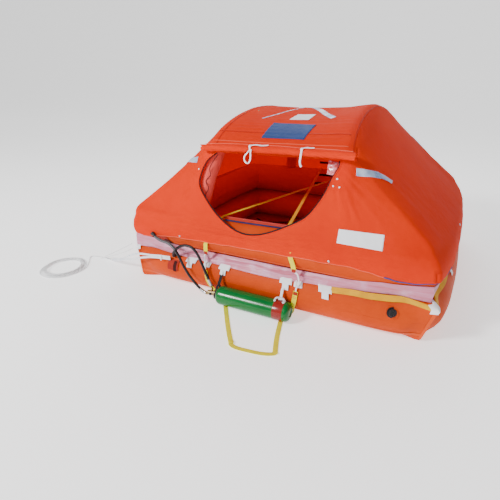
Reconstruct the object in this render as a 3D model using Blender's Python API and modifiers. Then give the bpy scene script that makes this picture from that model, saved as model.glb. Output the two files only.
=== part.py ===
"""An inflatable life raft for about six people, standing on a floor with its canopy up.

Metres, +Z up. The raft's long side with the door faces -Y. The origin is on the floor,
under the middle of the raft. Two stacked air tubes make a mitred rectangle, the canopy
stands on two arch tubes, and the gas cylinder hangs from the lower tube on two loops.
"""

import math

import bmesh
import bpy
from mathutils import Euler, Matrix, Vector

# Raft tubes
LENGTH = 2.40
WIDTH = 2.10
LOWER_RADIUS = 0.155
UPPER_RADIUS = 0.145
UPPER_INSET = 0.03
TOUCH_GAP = 0.0006
CORNER_PULL = 0.05
CORNER_REACH = 0.42
CORNER_FOOT = 0.103
END_BOW = 0.05
TUBE_SIDES = 32

HALF_X = LENGTH / 2
HALF_Y = WIDTH / 2
LOWER_Z = LOWER_RADIUS
UPPER_Z = 2 * LOWER_RADIUS + UPPER_RADIUS + TOUCH_GAP
UPPER_CORE = UPPER_INSET + UPPER_RADIUS
TUBE_TOP = UPPER_Z + UPPER_RADIUS

# Floor and the strip that bridges the two tubes
FLOOR_THICK = 0.012
FLOOR_INSET = 0.218
BAND_THICK = 0.0025
BAND_TOP_ANGLE = -55
BAND_FOOT_ANGLE = 51

# Canopy
ARCH_X = 0.545
ARCH_RADIUS = 0.055
CANOPY_EDGE_X = 0.61
# How far each arch leans towards the other one, as (height, lean)
ARCH_LEAN = {
    -1: [(0.62, 0.0), (1.02, 0.080), (1.32, 0.085)],
    1: [(0.62, 0.0), (1.02, 0.020), (1.28, 0.095)],
}
EDGE_DROP = 0.03
ARCH_CLEARANCE = 0.020
CANOPY_THICK = 0.004
SEAM_GAP = 0.0008
SKIRT_LOW_ANGLE = -3
SKIRT_TOP_ANGLE = 24
SKIRT_CLEARANCE = 0.0015
ROOF_SAG = 0.02
# The canopy's outline over an arch, from the front shoulder to the ridge: Y, Z
WALL_OUTLINE = [(-1.0105, 0.5175), (-0.955, 0.68), (-0.895, 0.90), (-0.80, 1.085)]
ROOF_OUTLINE = [(-0.80, 1.085), (-0.70, 1.165), (-0.515, 1.24), (-0.27, 1.292), (0.0, 1.31)]
# Where the corner crease runs over the tube: inset from the plan corner, height
CREASE_OVER_TUBE = [(0.150, 0.650), (0.075, 0.580)]

# Door
DOOR_CENTRE_X = -0.015
DOOR_CENTRE_Z = 0.93
DOOR_HALF_WIDTH = 0.515
DOOR_HALF_HEIGHT = 0.385
DOOR_TOP = 1.075
ROLL_RADIUS = 0.034
ROLL_X = (-0.515, 0.588)
ROLL_Y = -0.845
ROLL_Z = 1.105
TIE_X = (-0.17, 0.24)

# Webbing
GRAB_ANGLE = 42
PATCH_ANGLE = 35
GRAB_WIDTH = 0.04
WEB_THICK = 0.002
FLOOR_GAP = 0.0004
GRAB_START_X = 0.53
PATCH_SIZE = 0.095
PATCH_THICK = 0.003

# Gas cylinder
CYLINDER_RADIUS = 0.07
CYLINDER_X = (-0.31, 0.29)
CYLINDER_Y = -1.112
CYLINDER_Z = 0.0768
SWING_Y = -1.058
SWING_Z = 0.232

COLOURS = {
    "tube_orange": ((0.60, 0.13, 0.03), 0.45, 0.0),
    "canopy_orange": ((0.85, 0.11, 0.03), 0.55, 0.0),
    "floor_red": ((0.30, 0.03, 0.02), 0.60, 0.0),
    "band_pink": ((0.75, 0.50, 0.62), 0.50, 0.0),
    "yellow_webbing": ((0.80, 0.62, 0.08), 0.70, 0.0),
    "white_fabric": ((0.85, 0.86, 0.88), 0.60, 0.0),
    "red_fabric": ((0.35, 0.04, 0.02), 0.60, 0.0),
    "green_steel": ((0.01, 0.25, 0.07), 0.30, 0.0),
    "black_rubber": ((0.02, 0.02, 0.02), 0.50, 0.0),
    "valve_brass": ((0.45, 0.30, 0.12), 0.35, 1.0),
    "white_rope": ((0.82, 0.82, 0.80), 0.80, 0.0),
}


def clear_scene():
    for obj in list(bpy.data.objects):
        bpy.data.objects.remove(obj, do_unlink=True)


def new_collection(name):
    collection = bpy.data.collections.new(name)
    bpy.context.scene.collection.children.link(collection)
    return collection


def material(name):
    found = bpy.data.materials.get(name)
    if found:
        return found
    colour, roughness, metallic = COLOURS[name]
    made = bpy.data.materials.new(name)
    made.use_nodes = True
    shader = made.node_tree.nodes["Principled BSDF"]
    shader.inputs["Base Color"].default_value = (*colour, 1.0)
    shader.inputs["Roughness"].default_value = roughness
    shader.inputs["Metallic"].default_value = metallic
    return made


def add_object(name, data, finish):
    obj = bpy.data.objects.new(name, data)
    if finish:
        data.materials.append(material(finish))
    RAFT.objects.link(obj)
    return obj


def mesh_object(name, shape, finish, smooth=True):
    bmesh.ops.recalc_face_normals(shape, faces=shape.faces)
    mesh = bpy.data.meshes.new(name)
    shape.to_mesh(mesh)
    shape.free()
    if smooth:
        mesh.shade_smooth()
        mesh.set_sharp_from_angle(angle=math.radians(40))
    return add_object(name, mesh, finish)


def solidify(obj, thickness, offset=-1.0):
    made = obj.modifiers.new("thickness", "SOLIDIFY")
    made.thickness = thickness
    made.offset = offset
    made.use_even_offset = True
    return obj


def loft(name, rings, finish, closed, smooth=True):
    """A skin over a row of rings with equal point counts, closed on itself or capped."""
    shape = bmesh.new()
    rows = [[shape.verts.new(point) for point in ring] for ring in rings]
    pairs = list(zip(rows, rows[1:]))
    if closed:
        pairs.append((rows[-1], rows[0]))
    count = len(rows[0])
    for here, there in pairs:
        for i in range(count):
            j = (i + 1) % count
            shape.faces.new((here[i], here[j], there[j], there[i]))
    if not closed:
        shape.faces.new(rows[0])
        shape.faces.new(list(reversed(rows[-1])))
    return mesh_object(name, shape, finish, smooth)


def smooth_curve(points, per_span=6):
    """Points on a Catmull-Rom curve through the given ones."""
    points = [Vector(point) for point in points]
    padded = [2 * points[0] - points[1]] + points + [2 * points[-1] - points[-2]]
    out = []
    for a, b, c, d in zip(padded, padded[1:], padded[2:], padded[3:]):
        for step in range(per_span):
            t = step / per_span
            out.append(
                0.5
                * (
                    2 * b
                    + (c - a) * t
                    + (2 * a - 5 * b + 4 * c - d) * t**2
                    + (3 * b - a - 3 * c + d) * t**3
                )
            )
    out.append(points[-1])
    return out


# Plan of the raft: a section is a list of (inset, height), carried round a mitred rectangle


def corner_pull(distance):
    """How far the outer face is drawn in, this far from a corner."""
    if distance >= CORNER_REACH:
        return 0.0
    return CORNER_PULL * (1 - distance / CORNER_REACH) ** 2


def pulled(inset, pull, core):
    """An inset on the outer half of a tube shrinks towards its core line."""
    if inset >= core:
        return inset
    return pull + inset * (1 - pull / core)


def end_bow(y):
    return END_BOW * max(0.0, 1 - (y / HALF_Y) ** 2)


def plan_stations():
    """Places round the raft, counter-clockwise from the front left corner.

    Each is (side, along): side 0 front, 1 right, 2 back, 3 left, and along is the
    distance from the side's middle; at a corner along is None.
    """
    steps = [0.10, 0.22, CORNER_REACH]
    stations = []
    for side in range(4):
        half = HALF_X if side % 2 == 0 else HALF_Y
        stations.append((side, None))
        stations += [(side, -half + step) for step in steps]
        stations.append((side, 0.0))
        stations += [(side, half - step) for step in reversed(steps)]
    return stations


SIDE_AXES = [
    (Vector((1, 0, 0)), Vector((0, -1, 0))),
    (Vector((0, 1, 0)), Vector((1, 0, 0))),
    (Vector((-1, 0, 0)), Vector((0, 1, 0))),
    (Vector((0, -1, 0)), Vector((-1, 0, 0))),
]


def plan_point(side, along, inset, height, core=LOWER_RADIUS, mitred=False):
    """World point at an inset from the plan rectangle; along None is the side's first corner.

    A mitred point slides towards the side's middle as its inset grows, so that a whole
    section near a corner stays on its own side of the mitre.
    """
    run, out = SIDE_AXES[side]
    half_run = HALF_X if side % 2 == 0 else HALF_Y
    half_out = HALF_Y if side % 2 == 0 else HALF_X
    if along is None:
        k = pulled(inset, CORNER_PULL, core)
        point = -run * (half_run - k) + out * (half_out - k)
    else:
        k = pulled(inset, corner_pull(half_run - abs(along)), core)
        bow = end_bow(along) if side % 2 else 0.0
        spread = (half_run - k) / half_run if mitred else 1.0
        point = run * along * spread + out * (half_out + bow - k)
    return Vector((point.x, point.y, height))


def ring_round_raft(name, section, finish, core=LOWER_RADIUS, corner_section=None, smooth=True):
    rings = []
    for side, along in plan_stations():
        shape = corner_section if along is None and corner_section else section
        rings.append([plan_point(side, along, k, z, core, mitred=True) for k, z in shape])
    return loft(name, rings, finish, closed=True, smooth=smooth)


def tube_section(core_inset, core_z, radius, start=0, end=360, count=TUBE_SIDES):
    """Points on a tube's circle; the angle is 0 outwards and 90 at the top."""
    closed = end - start == 360
    steps = count if closed else count - 1
    points = []
    for i in range(count):
        angle = math.radians(start + (end - start) * i / steps)
        points.append((core_inset - radius * math.cos(angle), core_z + radius * math.sin(angle)))
    return points


def footed_section():
    """The lower tube's section at a corner, where the floor sheet holds its foot out."""
    out = []
    for i in range(TUBE_SIDES):
        angle = 2 * math.pi * i / TUBE_SIDES
        inset = LOWER_RADIUS * (1 - math.cos(angle))
        height = LOWER_Z + LOWER_RADIUS * math.sin(angle)
        below = math.sin(angle) < 0 and math.cos(angle) > -0.01
        if below:
            inset *= (CORNER_FOOT - CORNER_PULL) / (LOWER_RADIUS - CORNER_PULL)
        out.append((inset, height))
    return out


def build_tubes():
    ring_round_raft(
        "lower_tube",
        tube_section(LOWER_RADIUS, LOWER_Z, LOWER_RADIUS),
        "tube_orange",
        corner_section=footed_section(),
    )
    ring_round_raft(
        "upper_tube",
        tube_section(UPPER_CORE, UPPER_Z, UPPER_RADIUS),
        "tube_orange",
        core=UPPER_CORE,
    )
    top = tube_section(UPPER_CORE, UPPER_Z, UPPER_RADIUS + 0.002, BAND_TOP_ANGLE, 0, 2)[0]
    foot = tube_section(LOWER_RADIUS, LOWER_Z, LOWER_RADIUS + 0.0015, BAND_FOOT_ANGLE, 90, 2)[0]
    slope = Vector((top[0] - foot[0], top[1] - foot[1])).normalized()
    outward = Vector((-slope.y, slope.x)) * BAND_THICK
    section = [
        foot,
        top,
        (top[0] + outward.x, top[1] + outward.y),
        (foot[0] + outward.x, foot[1] + outward.y),
    ]
    ring_round_raft("tube_band", section, "band_pink", smooth=False)


def block(name, size, centre, finish, turn=None, bevel=0.0):
    """A box with its middle at centre; turn is a 3 by 3 matrix."""
    shape = bmesh.new()
    bmesh.ops.create_cube(shape, size=1)
    bmesh.ops.scale(shape, vec=size, verts=shape.verts)
    if bevel:
        bmesh.ops.bevel(
            shape, geom=shape.edges, offset=bevel, segments=2, profile=0.5, affect="EDGES"
        )
    if turn:
        bmesh.ops.transform(shape, matrix=turn.to_4x4(), verts=shape.verts)
    obj = mesh_object(name, shape, finish)
    obj.location = centre
    return obj


def wire(name, points, radius, finish, resolution=3):
    """A round cord, hose or rope along the points, with filled ends."""
    data = bpy.data.curves.new(name, "CURVE")
    data.dimensions = "3D"
    data.bevel_depth = radius
    data.bevel_resolution = resolution
    data.use_fill_caps = True
    spline = data.splines.new("POLY")
    spline.points.add(len(points) - 1)
    for place, point in zip(spline.points, points):
        place.co = (*point, 1.0)
    return add_object(name, data, finish)


def strap(name, route, width, finish, across, thick=WEB_THICK):
    """Flat webbing along a route; across(i, tangent) gives the direction of its width."""
    rings = []
    for i, point in enumerate(route):
        before = route[max(i - 1, 0)]
        after = route[min(i + 1, len(route) - 1)]
        tangent = (after - before).normalized()
        side = across(i, tangent)
        side = (side - tangent * side.dot(tangent)).normalized()
        normal = tangent.cross(side)
        half = side * width / 2
        skin = normal * thick / 2
        ring = [point - half - skin, point + half - skin, point + half + skin, point - half + skin]
        lift = max(0.0, FLOOR_GAP - min(corner.z for corner in ring))
        rings.append([corner + Vector((0, 0, lift)) for corner in ring])
    return loft(name, rings, finish, closed=False, smooth=False)


def along_x(_index, _tangent):
    return Vector((1, 0, 0))


def build_floor():
    size = (2 * (HALF_X - FLOOR_INSET), 2 * (HALF_Y - FLOOR_INSET), FLOOR_THICK)
    block("raft_floor", size, (0, 0, FLOOR_THICK / 2), "floor_red")


def lean(side, height):
    """How far the arch on one side leans inwards at this height."""
    marks = ARCH_LEAN[side]
    if height <= marks[0][0]:
        return marks[0][1]
    for (low, a), (high, b) in zip(marks, marks[1:]):
        if height <= high:
            return a + (b - a) * (height - low) / (high - low)
    return marks[-1][1]


def leaned_x(x, height):
    """An x between the canopy's two edges, moved in with the leaning arches."""
    share = (x / CANOPY_EDGE_X + 1) / 2
    left = -CANOPY_EDGE_X + lean(-1, height)
    right = CANOPY_EDGE_X - lean(1, height)
    return left + (right - left) * share


def build_arches():
    """Each arch tube runs inside the canopy's outline and stands on the upper tube."""
    half = smooth_curve([(0, y, z) for y, z in WALL_OUTLINE + ROOF_OUTLINE[1:]], 4)
    inward = []
    for i in range(1, len(half)):
        after = half[min(i + 1, len(half) - 1)]
        tangent = (after - half[i - 1]).normalized()
        normal = Vector((0, tangent.z, -tangent.y))
        point = half[i] + normal * (ARCH_RADIUS + CANOPY_THICK + ARCH_CLEARANCE)
        if point.z > TUBE_TOP + 0.03:
            inward.append(point)
    foot_y = inward[0].y - 0.004
    feet = [Vector((0, foot_y, TUBE_TOP + rise)) for rise in (0.0012, 0.012)]
    front = feet + inward[:-1]
    ridge = Vector((0, 0, inward[-1].z))
    back = [Vector((0, -point.y, point.z)) for point in reversed(front)]
    for name, side in (("left", -1), ("right", 1)):
        points = [
            Vector((side * (ARCH_X - lean(side, point.z)), point.y, point.z))
            for point in front + [ridge] + back
        ]
        wire("arch_tube_" + name, points, ARCH_RADIUS, "tube_orange", resolution=4)


def build_skirt():
    """The canopy's lower edge, wrapped round the outer face of the upper tube."""
    inner = UPPER_RADIUS + SKIRT_CLEARANCE
    low, top, count = SKIRT_LOW_ANGLE, SKIRT_TOP_ANGLE, 5
    inside = tube_section(UPPER_CORE, UPPER_Z, inner, low, top, count)
    outside = tube_section(UPPER_CORE, UPPER_Z, inner + CANOPY_THICK, low, top, count)
    ring_round_raft(
        "canopy_skirt", inside + outside[::-1], "canopy_orange", core=UPPER_CORE, smooth=False
    )


def corner_inset(inset):
    return pulled(inset, CORNER_PULL, UPPER_CORE)


def crease(corner_x, back):
    """The soft edge from the arch's knee down to a corner, as points from top to foot."""
    side_x = math.copysign(1, corner_x)
    side_y = 1 if back else -1
    foot_y, foot_z = WALL_OUTLINE[0]
    foot_inset = HALF_Y + foot_y
    knee_y, knee_z = WALL_OUTLINE[-1]
    points = [Vector((leaned_x(side_x * CANOPY_EDGE_X, knee_z), side_y * -knee_y, knee_z))]
    for inset, height in CREASE_OVER_TUBE + [(foot_inset, foot_z)]:
        k = corner_inset(inset)
        points.append(Vector((side_x * (HALF_X - k), side_y * (HALF_Y - k), height)))
    return smooth_curve(points, 3)


def wall_column(x, back):
    """The wall's points at x, from top to foot, as many as a crease has."""
    side_y = 1 if back else -1
    points = [Vector((leaned_x(x, z), side_y * -y, z)) for y, z in reversed(WALL_OUTLINE)]
    return smooth_curve(points, 3)


def grid(name, columns, finish):
    """A fabric panel: an open sheet through columns of points, given a thickness inwards."""
    shape = bmesh.new()
    rows = [[shape.verts.new(point) for point in column] for column in columns]
    for here, there in zip(rows, rows[1:]):
        for i in range(len(here) - 1):
            shape.faces.new((here[i], here[i + 1], there[i + 1], there[i]))
    mesh = bpy.data.meshes.new(name)
    shape.to_mesh(mesh)
    shape.free()
    return add_object(name, mesh, finish)


def mixed(a, b, share):
    return [p.lerp(q, share) for p, q in zip(a, b)]


def wall_columns(back):
    """Columns of the front or back wall, from the left crease to the right one."""
    middle = [wall_column(CANOPY_EDGE_X * (i / 3 - 1), back) for i in range(7)]
    left = crease(-1, back)
    right = crease(1, back)
    shares = (0.985, 0.85, 0.6, 0.3)
    columns = [outside_tube(mixed(middle[0], left, share), back) for share in shares]
    columns += middle
    columns += [outside_tube(mixed(middle[-1], right, share), back) for share in reversed(shares)]
    return columns


def outside_tube(column, back):
    """Keeps a wall column's lower rows on the tube's outer face, which draws in at the corner."""
    foot = column[-1]
    inset = pulled(HALF_Y + WALL_OUTLINE[0][0], corner_pull(HALF_X - abs(foot.x)), UPPER_CORE)
    wanted = (HALF_Y - inset) * (1 if back else -1)
    shift = wanted - foot.y
    for row, point in enumerate(column):
        point.y += shift * (row / (len(column) - 1)) ** 1.5
    return column


def lowered(columns, drop):
    """The panel's lower edge stays just above the skirt."""
    for column in columns:
        column[-1].z += drop
    return columns


def roof_profile(inset):
    """(y, z) over an arch from knee to knee, drawn in by an inset."""
    half = smooth_curve([(0, y, z) for y, z in ROOF_OUTLINE], 3)
    full = half + [Vector((0, -p.y, p.z)) for p in reversed(half[:-1])]
    out = []
    for i, point in enumerate(full):
        before = full[max(i - 1, 0)]
        after = full[min(i + 1, len(full) - 1)]
        tangent = (after - before).normalized()
        out.append((point.y + tangent.z * inset, point.z - tangent.y * inset))
    return out


def end_column(side, top, y, rows):
    """One line of an end panel: straight to the tube's shoulder, then round it to the skirt."""
    pull = corner_pull(HALF_Y - abs(y))
    points = []
    for angle, radius in ((44, 0.1515), (33.5, 0.1505)):
        turn = math.radians(angle)
        k = pulled(UPPER_CORE - radius * math.cos(turn), pull, UPPER_CORE)
        x = side * (HALF_X + end_bow(y) - k)
        points.append(Vector((x, y, UPPER_Z + radius * math.sin(turn))))
    k = pulled(HALF_Y + WALL_OUTLINE[0][0], pull, UPPER_CORE)
    points.append(Vector((side * (HALF_X + end_bow(y) - k), y, WALL_OUTLINE[0][1])))
    shoulder = points[0]
    steps = rows - 3
    straight = []
    for row in range(steps):
        bulge = Vector((side * 0.004 * math.sin(math.pi * row / steps), 0, 0))
        straight.append(top.lerp(shoulder, row / steps) + bulge)
    return straight + points


def end_columns(side):
    """Columns of an end panel, from the front crease over the arch to the back crease."""
    edge = side * (CANOPY_EDGE_X + 0.002)
    tops = [Vector((leaned_x(edge, z), y, z)) for y, z in roof_profile(EDGE_DROP)]
    front = crease(side, back=False)
    back = crease(side, back=True)
    count = len(tops)
    columns = []
    for i, top in enumerate(tops):
        share = i / (count - 1)
        y = front[-1].y + (back[-1].y - front[-1].y) * share
        column = end_column(side, top, y, len(front))
        corner = front if share < 0.5 else back
        at_corner = end_column(side, corner[0], corner[-1].y, len(front))
        near = max(0.0, 1 - min(share, 1 - share) * 5)
        columns.append([p + (q - r) * near for p, q, r in zip(column, corner, at_corner)])
    return columns


def shrunk(columns, gap):
    """Draws a panel's first and last columns in, so that it stops short of its neighbours."""
    first, second = columns[0], columns[1]
    last, before = columns[-1], columns[-2]
    for edge, inner in ((first, second), (last, before)):
        for i, point in enumerate(edge):
            step = inner[i] - point
            if step.length > gap:
                edge[i] = point + step.normalized() * gap
    return columns


def roof_columns():
    """Columns from knee to knee; the outer ones turn down over the arch tubes."""
    half = [0.15, 0.30, 0.44, 0.53, 0.56, 0.585, CANOPY_EDGE_X - 0.004]
    columns = []
    for x in [-x for x in reversed(half)] + [0.0] + half:
        over = max(0.0, (abs(x) - ARCH_X) / (CANOPY_EDGE_X - ARCH_X))
        sag = ROOF_SAG * max(0.0, 1 - (x / ARCH_X) ** 2)
        profile = roof_profile(EDGE_DROP * over**2)
        columns.append(
            [Vector((leaned_x(x, z), y, z - sag * (1 - (y / 0.8) ** 2))) for y, z in profile]
        )
    return columns


def door_cutter():
    shape = bmesh.new()
    bmesh.ops.create_cone(
        shape, cap_ends=True, segments=48, radius1=1, radius2=1, depth=0.6
    )
    bmesh.ops.rotate(shape, cent=(0, 0, 0), matrix=rotation_x(90), verts=shape.verts)
    bmesh.ops.scale(shape, vec=(DOOR_HALF_WIDTH, 1, DOOR_HALF_HEIGHT), verts=shape.verts)
    for vert in shape.verts:
        vert.co.z = min(vert.co.z, DOOR_TOP - DOOR_CENTRE_Z)
    bmesh.ops.recalc_face_normals(shape, faces=shape.faces)
    mesh = bpy.data.meshes.new("door_cutter")
    shape.to_mesh(mesh)
    shape.free()
    cutter = bpy.data.objects.new("door_cutter", mesh)
    cutter.location = (DOOR_CENTRE_X, -0.95, DOOR_CENTRE_Z)
    cutter.hide_render = True
    cutter.display_type = "WIRE"
    CUTTERS.objects.link(cutter)
    return cutter


def rotation_x(degrees):
    return Euler((math.radians(degrees), 0, 0)).to_matrix()


def build_canopy():
    drop = SEAM_GAP * 2
    front = grid("canopy_front", lowered(wall_columns(back=False), drop), "canopy_orange")
    solidify(front, CANOPY_THICK, offset=-1)
    cut = front.modifiers.new("door", "BOOLEAN")
    cut.object = door_cutter()
    back = grid("canopy_back", lowered(wall_columns(back=True), drop), "canopy_orange")
    solidify(back, CANOPY_THICK, offset=1)
    for name, side in (("left", -1), ("right", 1)):
        columns = lowered(shrunk(end_columns(side), 0.02), drop)
        columns = [[column[0].lerp(column[1], 0.03)] + column[1:] for column in columns]
        panel = grid("canopy_%s_end" % name, columns, "canopy_orange")
        solidify(panel, CANOPY_THICK, offset=side)
    roof = shrunk_rows(roof_columns(), 0.02)
    solidify(grid("canopy_roof", roof, "canopy_orange"), CANOPY_THICK, offset=1)


def shrunk_rows(columns, gap):
    for column in columns:
        column[0] = column[0] + (column[1] - column[0]).normalized() * gap
        column[-1] = column[-1] + (column[-2] - column[-1]).normalized() * gap
    return columns


def build_door():
    """The rolled-up door cover and the two tapes that hold it."""
    count = 14
    points = []
    for i in range(count + 1):
        share = i / count
        x = ROLL_X[0] + (ROLL_X[1] - ROLL_X[0]) * share
        droop = 0.010 * math.sin(math.pi * share)
        points.append(Vector((x, ROLL_Y - 0.002, ROLL_Z - droop)))
    wire("door_roll", points, ROLL_RADIUS, "canopy_orange", resolution=4)
    for name, x in zip(("left", "right"), TIE_X):
        route = [Vector((x, ROLL_Y - ROLL_RADIUS - 0.004, ROLL_Z - 0.012 - 0.02 * i)) for i in range(6)]
        strap("door_tie_" + name, route, 0.014, "white_fabric", along_x)


def lower_face(angle, proud):
    """Inset and height of a place on the lower tube's outer face, standing proud of it."""
    radius = LOWER_RADIUS + proud
    return (
        LOWER_RADIUS - radius * math.cos(math.radians(angle)),
        LOWER_Z + radius * math.sin(math.radians(angle)),
    )


def build_grab_line():
    """One webbing line from the door's right, round the back, to the front left corner."""
    stations = plan_stations()
    start = [(0, GRAB_START_X), (0, 0.78), (0, 0.98), (0, 1.10)]
    route = start + stations[8:] + [(0, None)]
    half = math.degrees(GRAB_WIDTH / 2 / LOWER_RADIUS)
    low, top = GRAB_ANGLE - half, GRAB_ANGLE + half
    corners = [(low, 0.0036), (low, 0.0056), (top, 0.0056), (top, 0.0036)]
    section = [lower_face(angle, proud) for angle, proud in corners]
    rings = [[plan_point(side, along, k, z, mitred=True) for k, z in section] for side, along in route]
    loft("grab_line", rings, "yellow_webbing", closed=False, smooth=False)


def patch(name, side, along, angle=PATCH_ANGLE, proud=0.0070, size=PATCH_SIZE, corner=False):
    """A flat fabric patch over the grab line, tangent to the tube."""
    inset, height = lower_face(angle, proud + PATCH_THICK / 2)
    middle = plan_point(side, along, inset, height)
    run, out = SIDE_AXES[side]
    if corner:
        previous = SIDE_AXES[side - 1][1]
        out = (out + previous).normalized()
        run = Vector((0, 0, 1)).cross(-out).normalized()
        middle += out * 0.012
    tilt = math.radians(angle)
    normal = out * math.cos(tilt) + Vector((0, 0, 1)) * math.sin(tilt)
    upward = normal.cross(run)
    turn = Matrix((run, upward, normal)).transposed()
    return block(name, (size, size * 0.95, PATCH_THICK), middle, "white_fabric", turn, 0.001)


# Name, side, distance from the side's middle
GRAB_PATCHES = [
    ("patch_front_1", 0, -0.60),
    ("patch_front_2", 0, -0.29),
    ("patch_front_3", 0, 0.22),
    ("patch_front_4", 0, 0.507),
    ("patch_right_1", 1, -0.42),
    ("patch_right_2", 1, 0.42),
    ("patch_back_1", 2, -0.55),
    ("patch_back_2", 2, 0.0),
    ("patch_back_3", 2, 0.55),
    ("patch_left_1", 3, -0.42),
    ("patch_left_2", 3, 0.42),
]
CORNER_PATCHES = [
    ("patch_corner_front_left", 0),
    ("patch_corner_front_right", 1),
    ("patch_corner_back_right", 2),
    ("patch_corner_back_left", 3),
]


def build_patches():
    for name, side, along in GRAB_PATCHES:
        patch(name, side, along)
    for name, side in CORNER_PATCHES:
        patch(name, side, None, proud=0.0075, size=0.075, corner=True)


# Side, x of the tab, x of the patch, route of the webbing below it to the floor's end
LADDER = {
    "left": (-0.43, -0.45, [(-0.44, -1.048, 0.215), (-0.41, -1.056, 0.12), (-0.34, -1.05, 0.035),
                            (-0.27, -1.07, 0.004), (-0.23, -1.12, 0.0022), (-0.16, -1.22, 0.0022),
                            (-0.06, -1.36, 0.0022), (0.034, -1.483, 0.0022)]),
    "right": (0.255, 0.313, [(0.300, -1.048, 0.215), (0.292, -1.0545, 0.155), (0.286, -1.0528, 0.12),
                             (0.270, -1.034, 0.072), (0.262, -1.028, 0.035), (0.235, -1.06, 0.004),
                             (0.225, -1.12, 0.0022), (0.245, -1.20, 0.0022), (0.285, -1.33, 0.0022),
                             (0.333, -1.457, 0.0022)]),
}


def build_ladder():
    ends = []
    for name, (tab_x, patch_x, route) in LADDER.items():
        tab_y = -(HALF_Y - UPPER_INSET) - 0.0075
        tab = [Vector((tab_x, tab_y, 0.44)), Vector((tab_x, tab_y, 0.365))]
        strap("ladder_tab_" + name, tab, 0.034, "yellow_webbing", along_x)
        tie_end = Vector((patch_x, -1.043, 0.296))
        tie = [Vector((tab_x, tab_y, 0.362)), Vector((tab_x, tab_y, 0.345)), tie_end]
        wire("ladder_tie_" + name, tie, 0.003, "white_rope", resolution=2)
        inset, height = lower_face(40, 0.009)
        spot = Vector((patch_x, -HALF_Y + inset, height))
        normal = Vector((0, -math.cos(math.radians(40)), math.sin(math.radians(40))))
        run = Vector((1, 0, 0))
        turn = Matrix((run, normal.cross(run), normal)).transposed()
        block("ladder_patch_" + name, (0.055, 0.045, PATCH_THICK), spot, "white_fabric", turn, 0.001)
        points = smooth_curve(route, 3)
        strap("ladder_strap_" + name, points, 0.034, "yellow_webbing", along_x)
        ends.append(points[-1])
    left, right = ends
    gap = Vector((0.02, 0, 0))
    rung = [left + gap, left.lerp(right, 0.33) + Vector((0, -0.03, 0)),
            left.lerp(right, 0.7) + Vector((0, -0.03, 0)), right - gap]
    strap("ladder_rung", smooth_curve(rung, 4), 0.034, "yellow_webbing", lambda i, t: Vector((0, 1, 0)))


def turned(name, profile, axis_point, finish, steps=32):
    """A solid turned about an axis along X; the profile is (distance along, radius)."""
    shape = bmesh.new()
    verts = [shape.verts.new((0, radius, along)) for along, radius in profile]
    edges = [shape.edges.new(pair) for pair in zip(verts, verts[1:])]
    bmesh.ops.spin(
        shape, geom=verts + edges, axis=(0, 0, 1), cent=(0, 0, 0), angle=2 * math.pi,
        steps=steps, use_merge=True,
    )
    bmesh.ops.remove_doubles(shape, verts=shape.verts, dist=0.00005)
    bmesh.ops.rotate(
        shape, cent=(0, 0, 0), matrix=Euler((0, math.radians(90), 0)).to_matrix(), verts=shape.verts
    )
    obj = mesh_object(name, shape, finish)
    obj.location = axis_point
    return obj


def build_cylinder():
    left, right = CYLINDER_X
    length = right - left
    dome = 0.030
    profile = [(0, 0), (0.0, 0.022), (0.012, 0.024)]
    for i in range(1, 6):
        angle = math.radians(90 * i / 5)
        profile.append((0.012 + dome * (1 - math.cos(angle)), 0.024 + 0.046 * math.sin(angle)))
    for i in range(5, -1, -1):
        angle = math.radians(90 * i / 5)
        profile.append((length - dome * (1 - math.cos(angle)), 0.030 + 0.040 * math.sin(angle)))
    profile.append((length, 0))
    axis = (left, CYLINDER_Y, CYLINDER_Z)
    turned("gas_cylinder", profile, axis, "green_steel")
    outer = CYLINDER_RADIUS + 0.0022
    inner = CYLINDER_RADIUS + 0.0006
    band = [(0.486, inner), (0.486, outer), (0.560, outer), (0.560, inner), (0.486, inner)]
    turned("cylinder_band", band, axis, "red_fabric")
    head = [(0, 0), (0, 0.016), (0.008, 0.020), (0.05, 0.020), (0.055, 0.026), (0.075, 0.026), (0.075, 0)]
    turned("valve_head", head, (left - 0.0755, CYLINDER_Y, CYLINDER_Z), "valve_brass", steps=20)
    loops = (("left", -0.29, 0.03), ("right", 0.205, 0.026))
    for name, x, width in loops:
        low_z = CYLINDER_Z + CYLINDER_RADIUS + 0.006
        route = [Vector((x, SWING_Y - 0.003, SWING_Z - 0.028)), Vector((x, -1.075, low_z + 0.03)),
                 Vector((x, -1.09, low_z))]
        strap("hanger_loop_" + name, route, width, "black_rubber" if name == "left" else "white_fabric", along_x)


# Hoses from the valve head to the two tubes, as points through which each bends
HOSE_RADIUS = 0.0105
HOSES = {
    "upper": [(-0.93, -1.03, 0.425), (-0.885, -1.05, 0.412), (-0.825, -1.064, 0.402), (-0.752, -1.074, 0.398),
              (-0.692, -1.082, 0.368), (-0.645, -1.086, 0.3), (-0.608, -1.09, 0.232), (-0.555, -1.095, 0.16),
              (-0.48, -1.105, 0.098), (-0.425, -1.111, 0.067), (-0.3885, -1.112, 0.0625)],
    "lower": [(-0.745, -1.03, 0.283), (-0.728, -1.05, 0.312), (-0.69, -1.054, 0.352), (-0.64, -1.057, 0.386),
              (-0.58, -1.062, 0.402), (-0.525, -1.066, 0.392), (-0.482, -1.07, 0.352), (-0.45, -1.074, 0.292),
              (-0.418, -1.078, 0.222), (-0.385, -1.083, 0.155), (-0.36, -1.088, 0.112)],
}


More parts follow.
